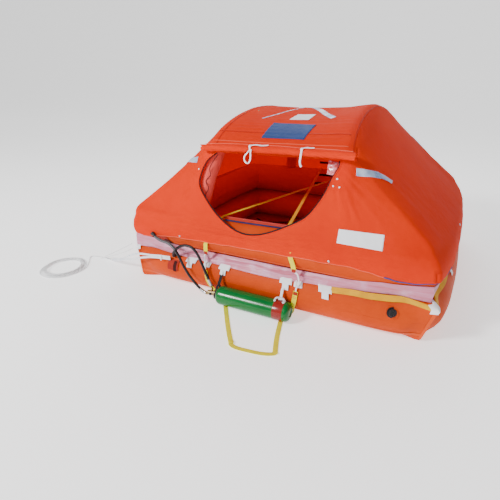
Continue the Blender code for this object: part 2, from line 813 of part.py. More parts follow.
def build_hoses():
    for name, route in HOSES.items():
        wire("inflation_hose_" + name, smooth_curve(route, 5), HOSE_RADIUS, "black_rubber", resolution=2)
        start = Vector(route[0])
        heading = (Vector(route[1]) - start).normalized()
        back = start - heading * 0.0205
        turn = heading.to_track_quat("Z", "Y").to_matrix()
        shape = bmesh.new()
        bmesh.ops.create_cone(shape, cap_ends=True, segments=20, radius1=0.0155, radius2=0.0130, depth=0.0155)
        bmesh.ops.rotate(shape, cent=(0, 0, 0), matrix=turn, verts=shape.verts)
        inlet = mesh_object("hose_inlet_" + name, shape, "black_rubber")
        inlet.location = back + heading * 0.0108


def build_topping_valve():
    """The round inflation valve on the lower tube, near the front right corner."""
    angle = 22
    inset, height = lower_face(angle, 0.012)
    shape = bmesh.new()
    bmesh.ops.create_cone(shape, cap_ends=True, segments=28, radius1=0.030, radius2=0.026, depth=0.014)
    bmesh.ops.rotate(shape, cent=(0, 0, 0), matrix=rotation_x(90 - angle), verts=shape.verts)
    valve = mesh_object("topping_valve", shape, "black_rubber")
    valve.location = (0.935, -HALF_Y + inset, height)


def build_cross_straps():
    """Two taut webbing lines over the cabin, from tube to tube."""
    z = TUBE_TOP + 0.004
    far_y = HALF_Y - UPPER_CORE
    lines = (
        ("cross_strap_long", (-0.355, -far_y + 0.02), (0.20, far_y - 0.02)),
        ("cross_strap_short", (0.17, -far_y + 0.02), (-0.18, far_y - 0.02)),
    )
    for name, start, end in lines:
        a, b = Vector((*start, z)), Vector((*end, z))
        lift = Vector((0, 0, 0.006 if name.endswith("short") else 0))
        strap(name, [a + lift, b + lift], 0.025, "yellow_webbing", lambda i, t: Vector((t.y, -t.x, 0)))


# The painter: a webbing bridle off the lower tube, then the rope and its coil on the floor
BRIDLE = [(-0.775, -1.046, 0.252), (-0.90, -1.058, 0.247), (-1.06, -1.062, 0.225), (-1.20, -1.045, 0.180),
          (-1.34, -1.00, 0.115), (-1.48, -0.955, 0.055), (-1.60, -0.92, 0.019)]
BRIDLE_WIDTH = 0.035
ROPE_RADIUS = 0.005
ROPE_RUN = [(-1.6006, -0.9195, 0.0085), (-1.70, -0.905, 0.0056), (-1.80, -0.912, 0.0056), (-1.87, -0.945, 0.0060),
            (-1.908, -0.9945, 0.0100)]
COIL_CENTRE = (-1.91, -1.21)
COIL_OUTER = 0.215
COIL_INNER = 0.140
COIL_HEIGHT = 0.030
LEGS = {
    "upper": [(-1.74, -0.885, 0.008), (-1.55, -0.93, 0.105), (-1.36, -0.975, 0.205), (-1.205, -1.012, 0.290)],
    "lower": [(-1.74, -0.930, 0.008), (-1.55, -0.955, 0.085), (-1.36, -0.985, 0.165), (-1.205, -1.016, 0.245)],
}


def build_painter():
    strap("painter_bridle", smooth_curve(BRIDLE, 4), BRIDLE_WIDTH, "white_fabric", lambda i, t: Vector((0, 0.25, 1)))
    wire("painter_rope", smooth_curve(ROPE_RUN, 5), ROPE_RADIUS, "white_rope", resolution=2)
    for name, route in LEGS.items():
        wire("painter_leg_" + name, smooth_curve(route, 4), 0.003, "white_rope", resolution=2)
    low, top = 0.0006, COIL_HEIGHT
    middle = (COIL_OUTER + COIL_INNER) / 2
    half = (COIL_OUTER - COIL_INNER) / 2
    shape = bmesh.new()
    sides = 10
    verts = []
    for i in range(sides):
        angle = 2 * math.pi * i / sides
        radius = middle + half * math.cos(angle)
        height = (low + top) / 2 + (top - low) / 2 * math.sin(angle)
        verts.append(shape.verts.new((radius, 0, height)))
    edges = [shape.edges.new((verts[i], verts[(i + 1) % sides])) for i in range(sides)]
    bmesh.ops.spin(
        shape, geom=verts + edges, axis=(0, 0, 1), cent=(0, 0, 0), angle=2 * math.pi,
        steps=40, use_merge=True,
    )
    bmesh.ops.remove_doubles(shape, verts=shape.verts, dist=0.00005)
    coil = mesh_object("painter_coil", shape, "white_rope")
    coil.location = (*COIL_CENTRE, 0)


clear_scene()
RAFT = new_collection("life_raft")
CUTTERS = new_collection("cutters")
build_tubes()
build_floor()
build_arches()
build_skirt()
build_canopy()
build_door()
build_grab_line()
build_patches()
build_ladder()
build_cylinder()
build_hoses()
build_topping_valve()
build_cross_straps()
build_painter()
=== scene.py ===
# %% [markdown]
# # Dressing an inflatable life raft
#
# The measured frame of the raft comes first and nothing in it moves. Every cell below makes
# one sub-part or one finish of the real raft, hangs it on the frame, and says why it is made
# that way. Lengths are metres, +Z is up, and the side with the door looks along -Y.

# %% Open the frame
import math

import bmesh
import bpy
from mathutils import Matrix, Vector, noise
from mathutils.bvhtree import BVHTree


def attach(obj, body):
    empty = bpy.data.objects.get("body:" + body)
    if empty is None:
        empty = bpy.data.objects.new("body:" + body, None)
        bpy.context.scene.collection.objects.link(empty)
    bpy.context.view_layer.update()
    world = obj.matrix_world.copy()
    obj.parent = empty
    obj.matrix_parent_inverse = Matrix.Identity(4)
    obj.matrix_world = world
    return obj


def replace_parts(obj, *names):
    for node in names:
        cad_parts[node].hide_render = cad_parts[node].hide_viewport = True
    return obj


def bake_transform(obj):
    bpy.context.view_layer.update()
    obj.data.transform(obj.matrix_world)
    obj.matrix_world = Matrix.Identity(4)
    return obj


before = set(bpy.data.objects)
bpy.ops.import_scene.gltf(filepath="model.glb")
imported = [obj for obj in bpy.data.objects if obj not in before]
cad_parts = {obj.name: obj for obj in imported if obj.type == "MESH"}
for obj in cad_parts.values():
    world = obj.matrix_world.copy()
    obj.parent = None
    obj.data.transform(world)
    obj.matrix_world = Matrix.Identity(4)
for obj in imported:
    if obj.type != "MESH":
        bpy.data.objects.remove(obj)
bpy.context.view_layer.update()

# %% [markdown]
# ## Camera, floor and light
#
# The camera stands where the photographer stood: in front of the door's right side, a little
# above the canopy, looking down by about 24 degrees. The floor is one pale sheet that
# curves up far behind the raft, so no edge is in view, and large lamps give soft studio light.

# %% Camera
CAMERA_PLACE = Vector((1.141, -3.174, 1.567))
CAMERA_YAW, CAMERA_PITCH, CAMERA_ROLL = -0.508, 0.427, -0.037
FOCAL_SHARE = 387.07 / 500


def camera_axes():
    """The camera's right, up and forward directions."""
    flat = math.cos(CAMERA_PITCH)
    forward = Vector(
        (math.sin(CAMERA_YAW) * flat, math.cos(CAMERA_YAW) * flat, -math.sin(CAMERA_PITCH))
    )
    level = Vector((math.cos(CAMERA_YAW), -math.sin(CAMERA_YAW), 0))
    upright = level.cross(forward)
    turn, tilt = math.cos(CAMERA_ROLL), math.sin(CAMERA_ROLL)
    return level * turn + upright * tilt, upright * turn - level * tilt, forward


right, up, forward = camera_axes()
camera = bpy.data.objects.new("camera", bpy.data.cameras.new("camera"))
camera.data.sensor_width = 36
camera.data.lens = 36 * FOCAL_SHARE
camera.matrix_world = Matrix.Translation(CAMERA_PLACE) @ Matrix((right, up, -forward)).transposed().to_4x4()
bpy.context.scene.collection.objects.link(camera)
bpy.context.scene.camera = camera
print("lens", round(camera.data.lens, 2), "mm")

# %% Floor and lamps
WORLD_LIGHT = 0.30
LAMPS = {
    "key": ((-5.6, -8.4, 7.0), (0.0, -0.3, 0.5), 2.2, 1450),
    "front": ((1.0, -5.4, 3.0), (0.2, -0.6, 0.4), 2.6, 30),
    "back": ((-0.6, 3.4, 4.6), (0.0, 0.0, 0.6), 3.0, 100),
}


def plain_material(name, colour, roughness, glow):
    """One even colour, for the stage only."""
    made = bpy.data.materials.new(name)
    made.use_nodes = True
    shader = made.node_tree.nodes["Principled BSDF"]
    shader.inputs["Base Color"].default_value = (*colour, 1)
    shader.inputs["Roughness"].default_value = roughness
    shader.inputs["Emission Color"].default_value = (1, 1, 1, 1)
    shader.inputs["Emission Strength"].default_value = glow
    return made


def build_stage():
    floor = bmesh.new()
    bmesh.ops.create_grid(floor, x_segments=1, y_segments=120, size=40)
    for vert in floor.verts:
        behind = max(0.0, vert.co.y - 8)
        vert.co.z = -0.0005 + 0.05 * behind**2
    mesh = bpy.data.meshes.new("studio_floor")
    floor.to_mesh(mesh)
    floor.free()
    mesh.materials.append(plain_material("studio_floor", (0.90, 0.90, 0.90), 0.7, 0.90))
    obj = bpy.data.objects.new("studio_floor", mesh)
    bpy.context.scene.collection.objects.link(obj)
    for name, (place, aim, size, power) in LAMPS.items():
        lamp = bpy.data.lights.new(name, "AREA")
        lamp.shape = "DISK"
        lamp.size = size
        lamp.energy = power
        holder = bpy.data.objects.new(name, lamp)
        holder.location = place
        holder.rotation_euler = (Vector(aim) - Vector(place)).to_track_quat("-Z", "Y").to_euler()
        bpy.context.scene.collection.objects.link(holder)
    world = bpy.data.worlds.new("studio")
    world.use_nodes = True
    world.node_tree.nodes["Background"].inputs["Color"].default_value = (1, 1, 1, 1)
    world.node_tree.nodes["Background"].inputs["Strength"].default_value = WORLD_LIGHT
    bpy.context.scene.world = world


build_stage()

# %% [markdown]
# ## A small language for finishes
#
# A finish is a set of connected nodes. Writing each node by hand hides the idea, so one class
# wraps a socket and lets numbers be added, multiplied and compared as in plain Python, and a
# second one makes any other node in a single call.


# %% Sums on sockets
class Value:
    """A socket that takes part in Python sums; each sum adds one Math node."""

    def __init__(self, finish, socket):
        self.finish = finish
        self.socket = socket

    def sum_node(self, operation, *others, clamp=False):
        settings = {"operation": operation, "use_clamp": clamp}
        inputs = dict(enumerate((self, *others)))
        return self.finish.node("ShaderNodeMath", settings, inputs)

    def __add__(self, other):
        return self.sum_node("ADD", other)

    def __sub__(self, other):
        return self.sum_node("SUBTRACT", other)

    def __rsub__(self, other):
        return self.finish.node("ShaderNodeMath", {"operation": "SUBTRACT"}, {0: other, 1: self})

    def __mul__(self, other):
        return self.sum_node("MULTIPLY", other)

    def __gt__(self, other):
        return self.sum_node("GREATER_THAN", other)

    def __lt__(self, other):
        return self.sum_node("LESS_THAN", other)

    def sine(self):
        return self.sum_node("SINE")

    def size(self):
        return self.sum_node("ABSOLUTE")

    def clamped(self):
        return self.sum_node("ADD", 0.0, clamp=True)

    __radd__ = __add__
    __rmul__ = __mul__


class Finish:
    """A material under construction, and the one method that adds a node to it."""

    def __init__(self, name, roughness, **numbers):
        self.material = bpy.data.materials.new(name)
        self.material.use_nodes = True
        self.tree = self.material.node_tree
        self.shader = self.tree.nodes["Principled BSDF"]
        self.set("Roughness", roughness)
        for key, number in numbers.items():
            self.set(key.replace("_", " ").title().replace("Ior", "IOR"), number)

    def set(self, name, value):
        """A number, a colour or a Value for one of the surface's own sockets."""
        self.join(value, self.shader.inputs[name])

    def join(self, value, socket):
        if isinstance(value, Value):
            self.tree.links.new(value.socket, socket)
        elif socket.type == "RGBA":
            socket.default_value = (*value[:3], 1)
        else:
            socket.default_value = value

    def node(self, kind, settings=None, inputs=None, output=0):
        """Adds a node: its settings first, then the values or links of its sockets."""
        made = self.tree.nodes.new(kind)
        for key, value in (settings or {}).items():
            setattr(made, key, value)
        for key, value in (inputs or {}).items():
            self.join(value, made.inputs[key])
        return Value(self, made.outputs[output])

    def place(self, source="Object"):
        return self.node("ShaderNodeTexCoord", output=source)

    def scaled(self, source, scale):
        """Coordinates stretched by a factor on each axis."""
        return self.node("ShaderNodeMapping", {"vector_type": "POINT"}, {"Vector": source, "Scale": scale})

    def axis(self, source, name):
        return self.node("ShaderNodeSeparateXYZ", inputs={0: source}, output=name)

    def noise(self, source, scale, detail=2.0, rough=0.5):
        inputs = {"Vector": source, "Scale": scale, "Detail": detail, "Roughness": rough}
        return self.node("ShaderNodeTexNoise", inputs=inputs)

    def mix(self, factor, first, second):
        """A colour between two, by the factor; 6, 7 and 2 are the Mix node's colour sockets."""
        settings = {"data_type": "RGBA", "clamp_factor": True}
        return self.node("ShaderNodeMix", settings, {0: factor, 6: first, 7: second}, output=2)

    def ramp(self, factor, low, high):
        """0 below low, 1 above high, and straight in between."""
        inputs = {0: factor, 1: low, 2: high, 3: 0.0, 4: 1.0}
        return self.node("ShaderNodeMapRange", {"clamp": True}, inputs)

    def bump(self, height, strength, distance, under=None):
        inputs = {"Height": height, "Strength": strength, "Distance": distance}
        if under:
            inputs["Normal"] = under
        return self.node("ShaderNodeBump", inputs=inputs)


# %% [markdown]
# ## The finishes
#
# Nearly all of the raft is coated cloth, so most finishes share the same three scales: a weave
# of about a millimetre in the bump, small creases of a few centimetres, and slow stains or
# fading over tens of centimetres in the colour and the gloss.


# %% Coated cloth
THREADS = 900.0


def coated_cloth(name, light, dark, roughness, crease=0.35):
    """Rubber-coated nylon: two close shades, worn gloss, creases and a fine weave."""
    made = Finish(name, roughness, specular_ior_level=0.05)
    place = made.place()
    slow = made.noise(place, 2.2, 3.0)
    fast = made.noise(place, 14.0, 4.0, 0.6)
    blotch = (slow * 0.65 + fast * 0.35).clamped()
    made.set("Base Color", made.mix(made.ramp(blotch, 0.35, 0.65), dark, light))
    made.set("Roughness", made.noise(place, 9.0, 3.0) * 0.16 + (roughness - 0.08))
    across = made.axis(place, "X") * THREADS
    upward = (made.axis(place, "Z") + made.axis(place, "Y")) * THREADS
    threads = across.sine() * upward.sine()
    cloth = made.bump(threads, 0.08, 0.0004)
    soft = made.noise(place, 26.0, 5.0, 0.55)
    made.set("Normal", made.bump(soft, crease, 0.012, cloth))
    return made


def paint_cabin_red_light(finish, red, wide, deep):
    """Paints what faces the cabin a deep red: painted red light, for the light that comes through the canopy.
    """
    place = finish.place()
    across = finish.ramp(finish.axis(place, "X").size(), wide, wide + 0.02)
    along = finish.ramp(finish.axis(place, "Y").size(), deep, deep + 0.02)
    outside = (across + along).clamped()
    own = Value(finish, finish.shader.inputs["Base Color"].links[0].from_socket)
    finish.set("Base Color", finish.mix(outside, red, own))


canopy_cloth = coated_cloth("canopy_cloth", (0.95, 0.050, 0.004), (0.86, 0.037, 0.003), 0.62)
tube_cloth = coated_cloth("tube_cloth", (0.62, 0.066, 0.006), (0.52, 0.048, 0.004), 0.48, crease=0.18)
# Painted red light on the cabin side of the tubes.
paint_cabin_red_light(tube_cloth, (0.78, 0.100, 0.085), 1.03, 0.87)
floor_cloth = coated_cloth("floor_cloth", (0.52, 0.050, 0.032), (0.40, 0.034, 0.022), 0.55)
red_cloth = coated_cloth("red_cloth", (0.40, 0.035, 0.020), (0.28, 0.020, 0.012), 0.50)
white_cloth = coated_cloth("white_cloth", (0.97, 0.98, 1.00), (0.87, 0.89, 0.94), 0.55, crease=0.25)
blue_cloth = coated_cloth("blue_cloth", (0.050, 0.090, 0.26), (0.034, 0.064, 0.20), 0.45, crease=0.3)
navy_cloth = coated_cloth("navy_cloth", (0.020, 0.030, 0.110), (0.012, 0.018, 0.070), 0.55)

# %% [markdown]
# The canopy lets some daylight through, which is why the cabin glows red behind the door. A
# Translucent shader mixed into the cloth does that without any lamp inside. The strip between
# the two air tubes is a thinner, paler film of the same kind.


# %% Cloth that lets light through
def let_light_through(finish, colour, share):
    """Mixes a Translucent shader into a finished cloth."""
    tree = finish.tree
    glow = finish.node("ShaderNodeBsdfTranslucent", inputs={"Color": colour})
    both = finish.node(
        "ShaderNodeMixShader", inputs={0: share, 1: Value(finish, finish.shader.outputs[0]), 2: glow}
    )
    tree.links.new(both.socket, tree.nodes["Material Output"].inputs["Surface"])


let_light_through(canopy_cloth, (0.98, 0.06, 0.01), 0.35)


def thin_film():
    """The pale film over the gap between the tubes, with streaks along the raft."""
    made = Finish("thin_film", 0.34, sheen_weight=0.1)
    place = made.place()
    streaks = made.noise(made.scaled(place, (3.0, 3.0, 60.0)), 1.0, 4.0, 0.6)
    blotch = made.noise(place, 12.0, 3.0)
    tint = made.mix(made.ramp(streaks, 0.38, 0.66), (0.72, 0.20, 0.30), (0.80, 0.36, 0.54))
    made.set("Base Color", made.mix(made.ramp(blotch, 0.5, 0.75), tint, (0.86, 0.50, 0.70)))
    made.set("Normal", made.bump(streaks, 0.5, 0.01))
    let_light_through(made, (0.85, 0.55, 0.65), 0.25)
    return made


film = thin_film()


# %% [markdown]
# Webbing is woven in ribs across its width with a tight border on both edges. Its pattern
# follows the strap wherever it bends, so it is drawn on the strap's own UV map, whose first
# number runs along the strap in metres and whose second runs across it from 0 to 1.


# %% Webbing and rope
def webbing(name, light, dark):
    made = Finish(name, 0.72, sheen_weight=0.05, sheen_roughness=0.5, specular_ior_level=0.2)
    strap_map = made.place("UV")
    along = made.axis(strap_map, "X")
    across = made.axis(strap_map, "Y")
    ribs = (along * 1500.0 + (across - 0.5).size() * 9.0).sine()
    border = (across - 0.5).size() > 0.43
    stain = made.noise(made.place(), 16.0, 3.0)
    tint = made.mix(made.ramp(stain, 0.35, 0.7), dark, light)
    made.set("Base Color", made.mix(border * 0.35, tint, dark))
    made.set("Normal", made.bump(ribs, 0.35, 0.0008))
    return made


yellow_webbing = webbing("yellow_webbing", (0.90, 0.80, 0.020), (0.78, 0.68, 0.015))
amber_webbing = webbing("amber_webbing", (0.84, 0.46, 0.005), (0.72, 0.36, 0.004))
white_webbing = webbing("white_webbing", (0.97, 0.97, 0.99), (0.80, 0.81, 0.86))
black_webbing = webbing("black_webbing", (0.018, 0.018, 0.021), (0.009, 0.009, 0.011))
navy_webbing = webbing("navy_webbing", (0.030, 0.045, 0.16), (0.016, 0.024, 0.09))


def rope_yarn():
    """White twisted rope: three strands that wind once in four centimetres."""
    made = Finish("rope_yarn", 0.75, sheen_weight=0.2)
    rope_map = made.place("UV")
    twist = (made.axis(rope_map, "X") * 160.0 + made.axis(rope_map, "Y") * 18.85).sine()
    # The grey between the strands is painted shade, the shadow in the grooves of the twist; the yarn is
    # white.
    made.set("Base Color", made.mix(made.ramp(twist, -1.0, 0.4), (0.62, 0.63, 0.66), (0.97, 0.97, 0.97)))
    made.set("Normal", made.bump(twist, 0.5, 0.0012))
    return made


white_yarn = rope_yarn()


# %% [markdown]
# The hard parts are few: a green enamelled steel bottle with a tape round it, a brass valve,
# black rubber hoses with crimped steel ends, and small steel studs in the canopy's hem.


# %% Hard finishes
def enamel(name, light, dark):
    made = Finish(name, 0.36, coat_weight=0.06, coat_roughness=0.20, specular_ior_level=0.3)
    place = made.place()
    blotch = made.noise(place, 7.0, 4.0)
    scuff = made.noise(made.scaled(place, (12.0, 60.0, 60.0)), 1.0, 5.0, 0.7)
    made.set("Base Color", made.mix(made.ramp(blotch, 0.35, 0.7), dark, light))
    made.set("Roughness", made.ramp(scuff, 0.5, 0.8) * 0.22 + 0.20)
    made.set("Normal", made.bump(made.noise(place, 55.0, 3.0), 0.06, 0.002))
    return made


def rubber(name, colour, roughness):
    made = Finish(name, roughness, specular_ior_level=0.3)
    place = made.place()
    dust = made.ramp(made.noise(place, 20.0, 5.0, 0.65), 0.45, 0.8)
    pale = tuple(0.5 * c + 0.05 for c in colour)
    made.set("Base Color", made.mix(dust * 0.5, colour, pale))
    made.set("Roughness", dust * 0.2 + roughness)
    made.set("Normal", made.bump(made.noise(place, 180.0, 4.0), 0.15, 0.001))
    return made


def metal(name, light, dark, roughness):
    made = Finish(name, roughness, metallic=1.0)
    place = made.place()
    worn = made.noise(place, 60.0, 5.0, 0.6)
    made.set("Base Color", made.mix(made.ramp(worn, 0.35, 0.7), dark, light))
    made.set("Roughness", worn * 0.3 + (roughness - 0.1))
    made.set("Normal", made.bump(worn, 0.1, 0.0008))
    return made


def reflective_tape():
    """Silver-blue tape pressed with a fine honeycomb; its patches of deep and pale blue are painted sheen, in
    place of the reflection that moves over the tape.
    """
    made = Finish("reflective_tape", 0.35, metallic=0.15, coat_weight=0.4, coat_roughness=0.2)
    place = made.place()
    cells = made.node(
        "ShaderNodeTexVoronoi", {"feature": "DISTANCE_TO_EDGE"}, {"Vector": place, "Scale": 260.0}
    )
    # Painted sheen: slow noise moves the tape's colour between deep blue and pale blue-white.
    painted_sheen = made.ramp(made.noise(place, 9.0, 2.0), 0.4, 0.62)
    tint = made.mix(painted_sheen, (0.13, 0.22, 0.46), (0.66, 0.78, 0.92))
    made.set("Base Color", made.mix(cells < 0.06, tint, (0.42, 0.52, 0.70)))
    made.set("Normal", made.bump(cells, 0.2, 0.001))
    return made


green_enamel = enamel("green_enamel", (0.002, 0.165, 0.030), (0.001, 0.125, 0.021))
dark_red_tape = enamel("dark_red_tape", (0.30, 0.020, 0.014), (0.22, 0.014, 0.010))
black_rubber = rubber("black_rubber", (0.010, 0.010, 0.012), 0.42)
brass = metal("brass", (0.50, 0.36, 0.17), (0.20, 0.14, 0.07), 0.36)
steel = metal("steel", (0.74, 0.75, 0.77), (0.45, 0.46, 0.48), 0.30)
silver_tape = reflective_tape()
print(len(bpy.data.materials), "finishes")

# %% [markdown]
# ## Bending a flat grid into a piece
#
# Cloth, straps, hoses and air tubes are all a flat sheet in the factory. The same is done
# here: Blender's grid operator makes the sheet with its UV map already on it, and a function
# moves each point to its place on the raft. A sheet that closes on itself has its seam merged.


# %% Grids, pieces and their bodies
def flat_grid(across, along, width=1.0, length=1.0):
    """A sheet of faces from 0 to 1 both ways, with a UV map in metres."""
    sheet = bmesh.new()
    layer = sheet.loops.layers.uv.new("UVMap")
    bmesh.ops.create_grid(sheet, x_segments=across, y_segments=along, size=0.5)
    bmesh.ops.translate(sheet, vec=(0.5, 0.5, 0), verts=sheet.verts)
    for face in sheet.faces:
        for loop in face.loops:
            loop[layer].uv = (loop.vert.co.x * width, loop.vert.co.y * length)
    return sheet


def bend(sheet, place, merge=True):
    """Moves each point of the sheet to where place(u, v) says, and closes the seams."""
    for vert in sheet.verts:
        vert.co = place(vert.co.x, vert.co.y)
    if merge:
        bmesh.ops.remove_doubles(sheet, verts=sheet.verts, dist=0.00002)
    bmesh.ops.recalc_face_normals(sheet, faces=sheet.faces)
    return sheet


def finish_piece(name, sheet, finish, slot, body="raft", replaced=(), sharp=40, outwards=True):
    """Turns a bmesh into a piece of the raft, with its finish, and hangs it on a body."""
    if outwards:
        bmesh.ops.recalc_face_normals(sheet, faces=sheet.faces)
    mesh = bpy.data.meshes.new(name)
    sheet.to_mesh(mesh)
    sheet.free()
    mesh.shade_smooth()
    mesh.set_sharp_from_angle(angle=math.radians(sharp))
    mesh.materials.append(finish.material)
    obj = bpy.data.objects.new(name, mesh)
    bpy.context.scene.collection.objects.link(obj)
    if body:
        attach(obj, body)
    if replaced:
        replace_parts(obj, *replaced)
    return obj


def thicken(obj, thickness, offset=0.0):
    """A real thickness for a single sheet, with its open edges closed."""
    made = obj.modifiers.new("thickness", "SOLIDIFY")
    made.thickness = thickness
    made.offset = offset
    made.use_even_offset = False
    return obj


def curve_at(points, t):
    """A point on the smooth curve through the given points; t runs from 0 to 1."""
    last = len(points) - 1
    t = min(max(t, 0.0), 1.0) * last
    i = min(int(t), last - 1)
    t -= i
    b, c = points[i], points[i + 1]
    a = points[i - 1] if i > 0 else 2 * b - c
    d = points[i + 2] if i + 2 <= last else 2 * c - b
    return 0.5 * (2 * b + (c - a) * t + (2 * a - 5 * b + 4 * c - d) * t**2 + (3 * b - a - 3 * c + d) * t**3)


def evenly(points, count):
    """count points at equal steps along the smooth curve through the given ones."""
    points = [Vector(p) for p in points]
    fine = [curve_at(points, i / (24 * len(points))) for i in range(24 * len(points) + 1)]
    reach = [0.0]
    for a, b in zip(fine, fine[1:]):
        reach.append(reach[-1] + (b - a).length)
    out, k = [], 0
    for i in range(count):
        want = reach[-1] * i / (count - 1)
        while k < len(fine) - 2 and reach[k + 1] < want:
            k += 1
        span = reach[k + 1] - reach[k]
        out.append(fine[k].lerp(fine[k + 1], (want - reach[k]) / span if span else 0.0))
    return out


def length_of(points):
    return sum((b - a).length for a, b in zip(points, points[1:]))


def directions(points):
    """The direction of travel at each point of a route."""
    out = []
    for i, _ in enumerate(points):
        out.append((points[min(i + 1, len(points) - 1)] - points[max(i - 1, 0)]).normalized())
    return out


def side_frames(points):
    """For each point: its direction and two directions square to it, never twisting."""
    ways = directions(points)
    across = Vector((0, 0, 1)) if abs(ways[0].z) < 0.9 else Vector((1, 0, 0))
    out = []
    for way in ways:
        across = (across - way * across.dot(way)).normalized()
        out.append((way, across, way.cross(across)))
    return out


def round_cord(name, points, radius, finish, slot, sides=12, profile=None, **piece):
    """A tube along a route; profile(share) may change its radius from 0 to 1 along it."""
    frames = side_frames(points)
    sheet = flat_grid(len(points) - 1, sides, length_of(points), 1.0)

    def place(u, v):
        i = round(u * (len(points) - 1))
        _, first, second = frames[i]
        r = radius * (profile(i / (len(points) - 1)) if profile else 1.0)
        angle = 2 * math.pi * v
        return points[i] + first * (r * math.cos(angle)) + second * (r * math.sin(angle))

    bend(sheet, place)
    close_ends(sheet)
    return finish_piece(name, sheet, finish, slot, **piece)


def close_ends(sheet):
    """Fills the two open rings at the ends of a tube."""
    edges = [edge for edge in sheet.edges if edge.is_boundary]
    if edges:
        bmesh.ops.holes_fill(sheet, edges=edges, sides=0)


def ribbon(name, points, width, thickness, side, finish, slot, **piece):
    """A flat strap along a route. side is the direction of its width, one or one a point."""
    ways = directions(points)
    last = len(points) - 1
    outline = [(-0.5, 0.35), (-0.42, 0.5), (0.42, 0.5), (0.5, 0.35)]
    outline += [(x, -y) for x, y in reversed(outline)]
    sheet = flat_grid(last, len(outline), length_of(points), 1.0)

    def place(u, v):
        i = round(u * last)
        across = side[i] if isinstance(side, list) else Vector(side)
        across = (across - ways[i] * across.dot(ways[i])).normalized()
        x, y = outline[round(v * len(outline)) % len(outline)]
        wide = width[i] if isinstance(width, list) else width
        return points[i] + across * (x * wide) + ways[i].cross(across) * (y * thickness)

    layer = sheet.loops.layers.uv.active
    for face in sheet.faces:
        for loop in face.loops:
            x, _ = outline[round(loop.vert.co.y * len(outline)) % len(outline)]
            loop[layer].uv.y = x + 0.5
    bend(sheet, place)
    close_ends(sheet)
    return finish_piece(name, sheet, finish, slot, **piece)


def strap(name, points, width, thickness, side, finish, slot, held, under, **piece):
    """A ribbon of webbing along a route, as long as the route. The held and under arguments are not used."""
    made = ribbon(name, points, width, thickness, side, finish, slot, **piece)
    round(length_of(points), 3)
    return made


def soften(sheet, verts):
    """One step of smoothing on all three axes."""
    bmesh.ops.smooth_vert(sheet, verts=verts, factor=0.5, use_axis_x=True, use_axis_y=True, use_axis_z=True)


def turned(name, profile, axis_point, finish, slot, steps=64, **piece):
    """A shape turned about an axis along X through axis_point; profile is (along, radius)."""
    shape = bmesh.new()
    verts = [shape.verts.new((along, 0, radius)) for along, radius in profile]
    edges = [shape.edges.new(pair) for pair in zip(verts, verts[1:])]
    bmesh.ops.spin(
        shape, geom=verts + edges, axis=(1, 0, 0), cent=(0, 0, 0), angle=2 * math.pi, steps=steps,
        use_merge=True,
    )
    bmesh.ops.remove_doubles(shape, verts=shape.verts, dist=0.00005)
    bmesh.ops.translate(shape, vec=axis_point, verts=shape.verts)
    return finish_piece(name, shape, finish, slot, **piece)


# %% [markdown]
# ## The painter
#
# The painter is the raft's mooring line: a white twisted rope that leaves the webbing bridle,
# runs a little way over the floor and lies in a flat coil. Its route is fixed first, because
# a rope keeps its length wherever it lies. It is swept as a tube, so that the three strands can
# follow it, and the coil winds inwards and then climbs back over itself.

# %% The rope
ROPE_RADIUS = 0.005
ROPE_EXIT = (-1.6006, -0.9195, 0.0085)
COIL_CENTRE = Vector((-1.91, -1.21, 0))
COIL_TURNS, COIL_OUTER, COIL_INNER = 7, 0.2085, 0.1465


def coil_point(turn):
    """A place on the coil after this many turns from where the rope joins it."""
    angle = math.radians(84) - 2 * math.pi * turn
    share = turn / COIL_TURNS
    inward = share / 0.62 if share < 0.62 else 1 - (share - 0.62) / 0.62
    radius = COIL_OUTER - (COIL_OUTER - COIL_INNER) * min(inward, 1)
    wander = 0.0022 * math.sin(3 * angle + 1.7 * turn) + 0.0016 * math.sin(5 * angle)
    if share < 0.62:
        height = 0.0060
    else:
        height = 0.0060 + 0.0112 * min(1.0, (share - 0.62) / 0.03)
        radius -= 0.0055
    height += 0.0008 * math.sin(4 * angle + turn)
    reach = radius + wander
    return COIL_CENTRE + Vector((reach * math.cos(angle), reach * math.sin(angle), height))


def painter_route():
    run = [ROPE_EXIT, (-1.70, -0.905, 0.0056), (-1.80, -0.912, 0.0056), (-1.865, -0.945, 0.0060)]
    coil = [coil_point(i / 16) for i in range(2, 16 * COIL_TURNS + 1)]
    points = [Vector(p) for p in run] + coil
    return evenly(points, 1500)


rope_route = painter_route()
painter = round_cord(
    "painter_line", rope_route, ROPE_RADIUS, white_yarn, "white_rope", sides=8,
    replaced=("painter_rope", "painter_coil"),
)
round(length_of(rope_route), 2)
rope_route[::3] + rope_route[-1:]
print("painter", round(length_of(rope_route), 2), "m")

# %% [markdown]
# The rope meets the raft at a bridle: two strips of white webbing that start together under
# the rope's eye and part into a narrow V near the tube. Thin cords tie the eye to the corner
# patches. A whipping of thread binds the eye.

# %% Bridle, whipping and tie cords
BRIDLE = [
    (-0.775, -1.046, 0.252), (-0.90, -1.058, 0.247), (-1.06, -1.062, 0.225), (-1.20, -1.045, 0.180),
    (-1.34, -1.00, 0.115), (-1.48, -0.955, 0.055), (-1.60, -0.92, 0.019),
]
LEGS = {
    "upper": [
        (-1.74, -0.885, 0.008), (-1.55, -0.93, 0.105), (-1.36, -0.975, 0.205), (-1.205, -1.012, 0.290)
    ],
    "lower": [
        (-1.74, -0.930, 0.008), (-1.55, -0.955, 0.085), (-1.36, -0.985, 0.165), (-1.205, -1.016, 0.245)
    ],
}


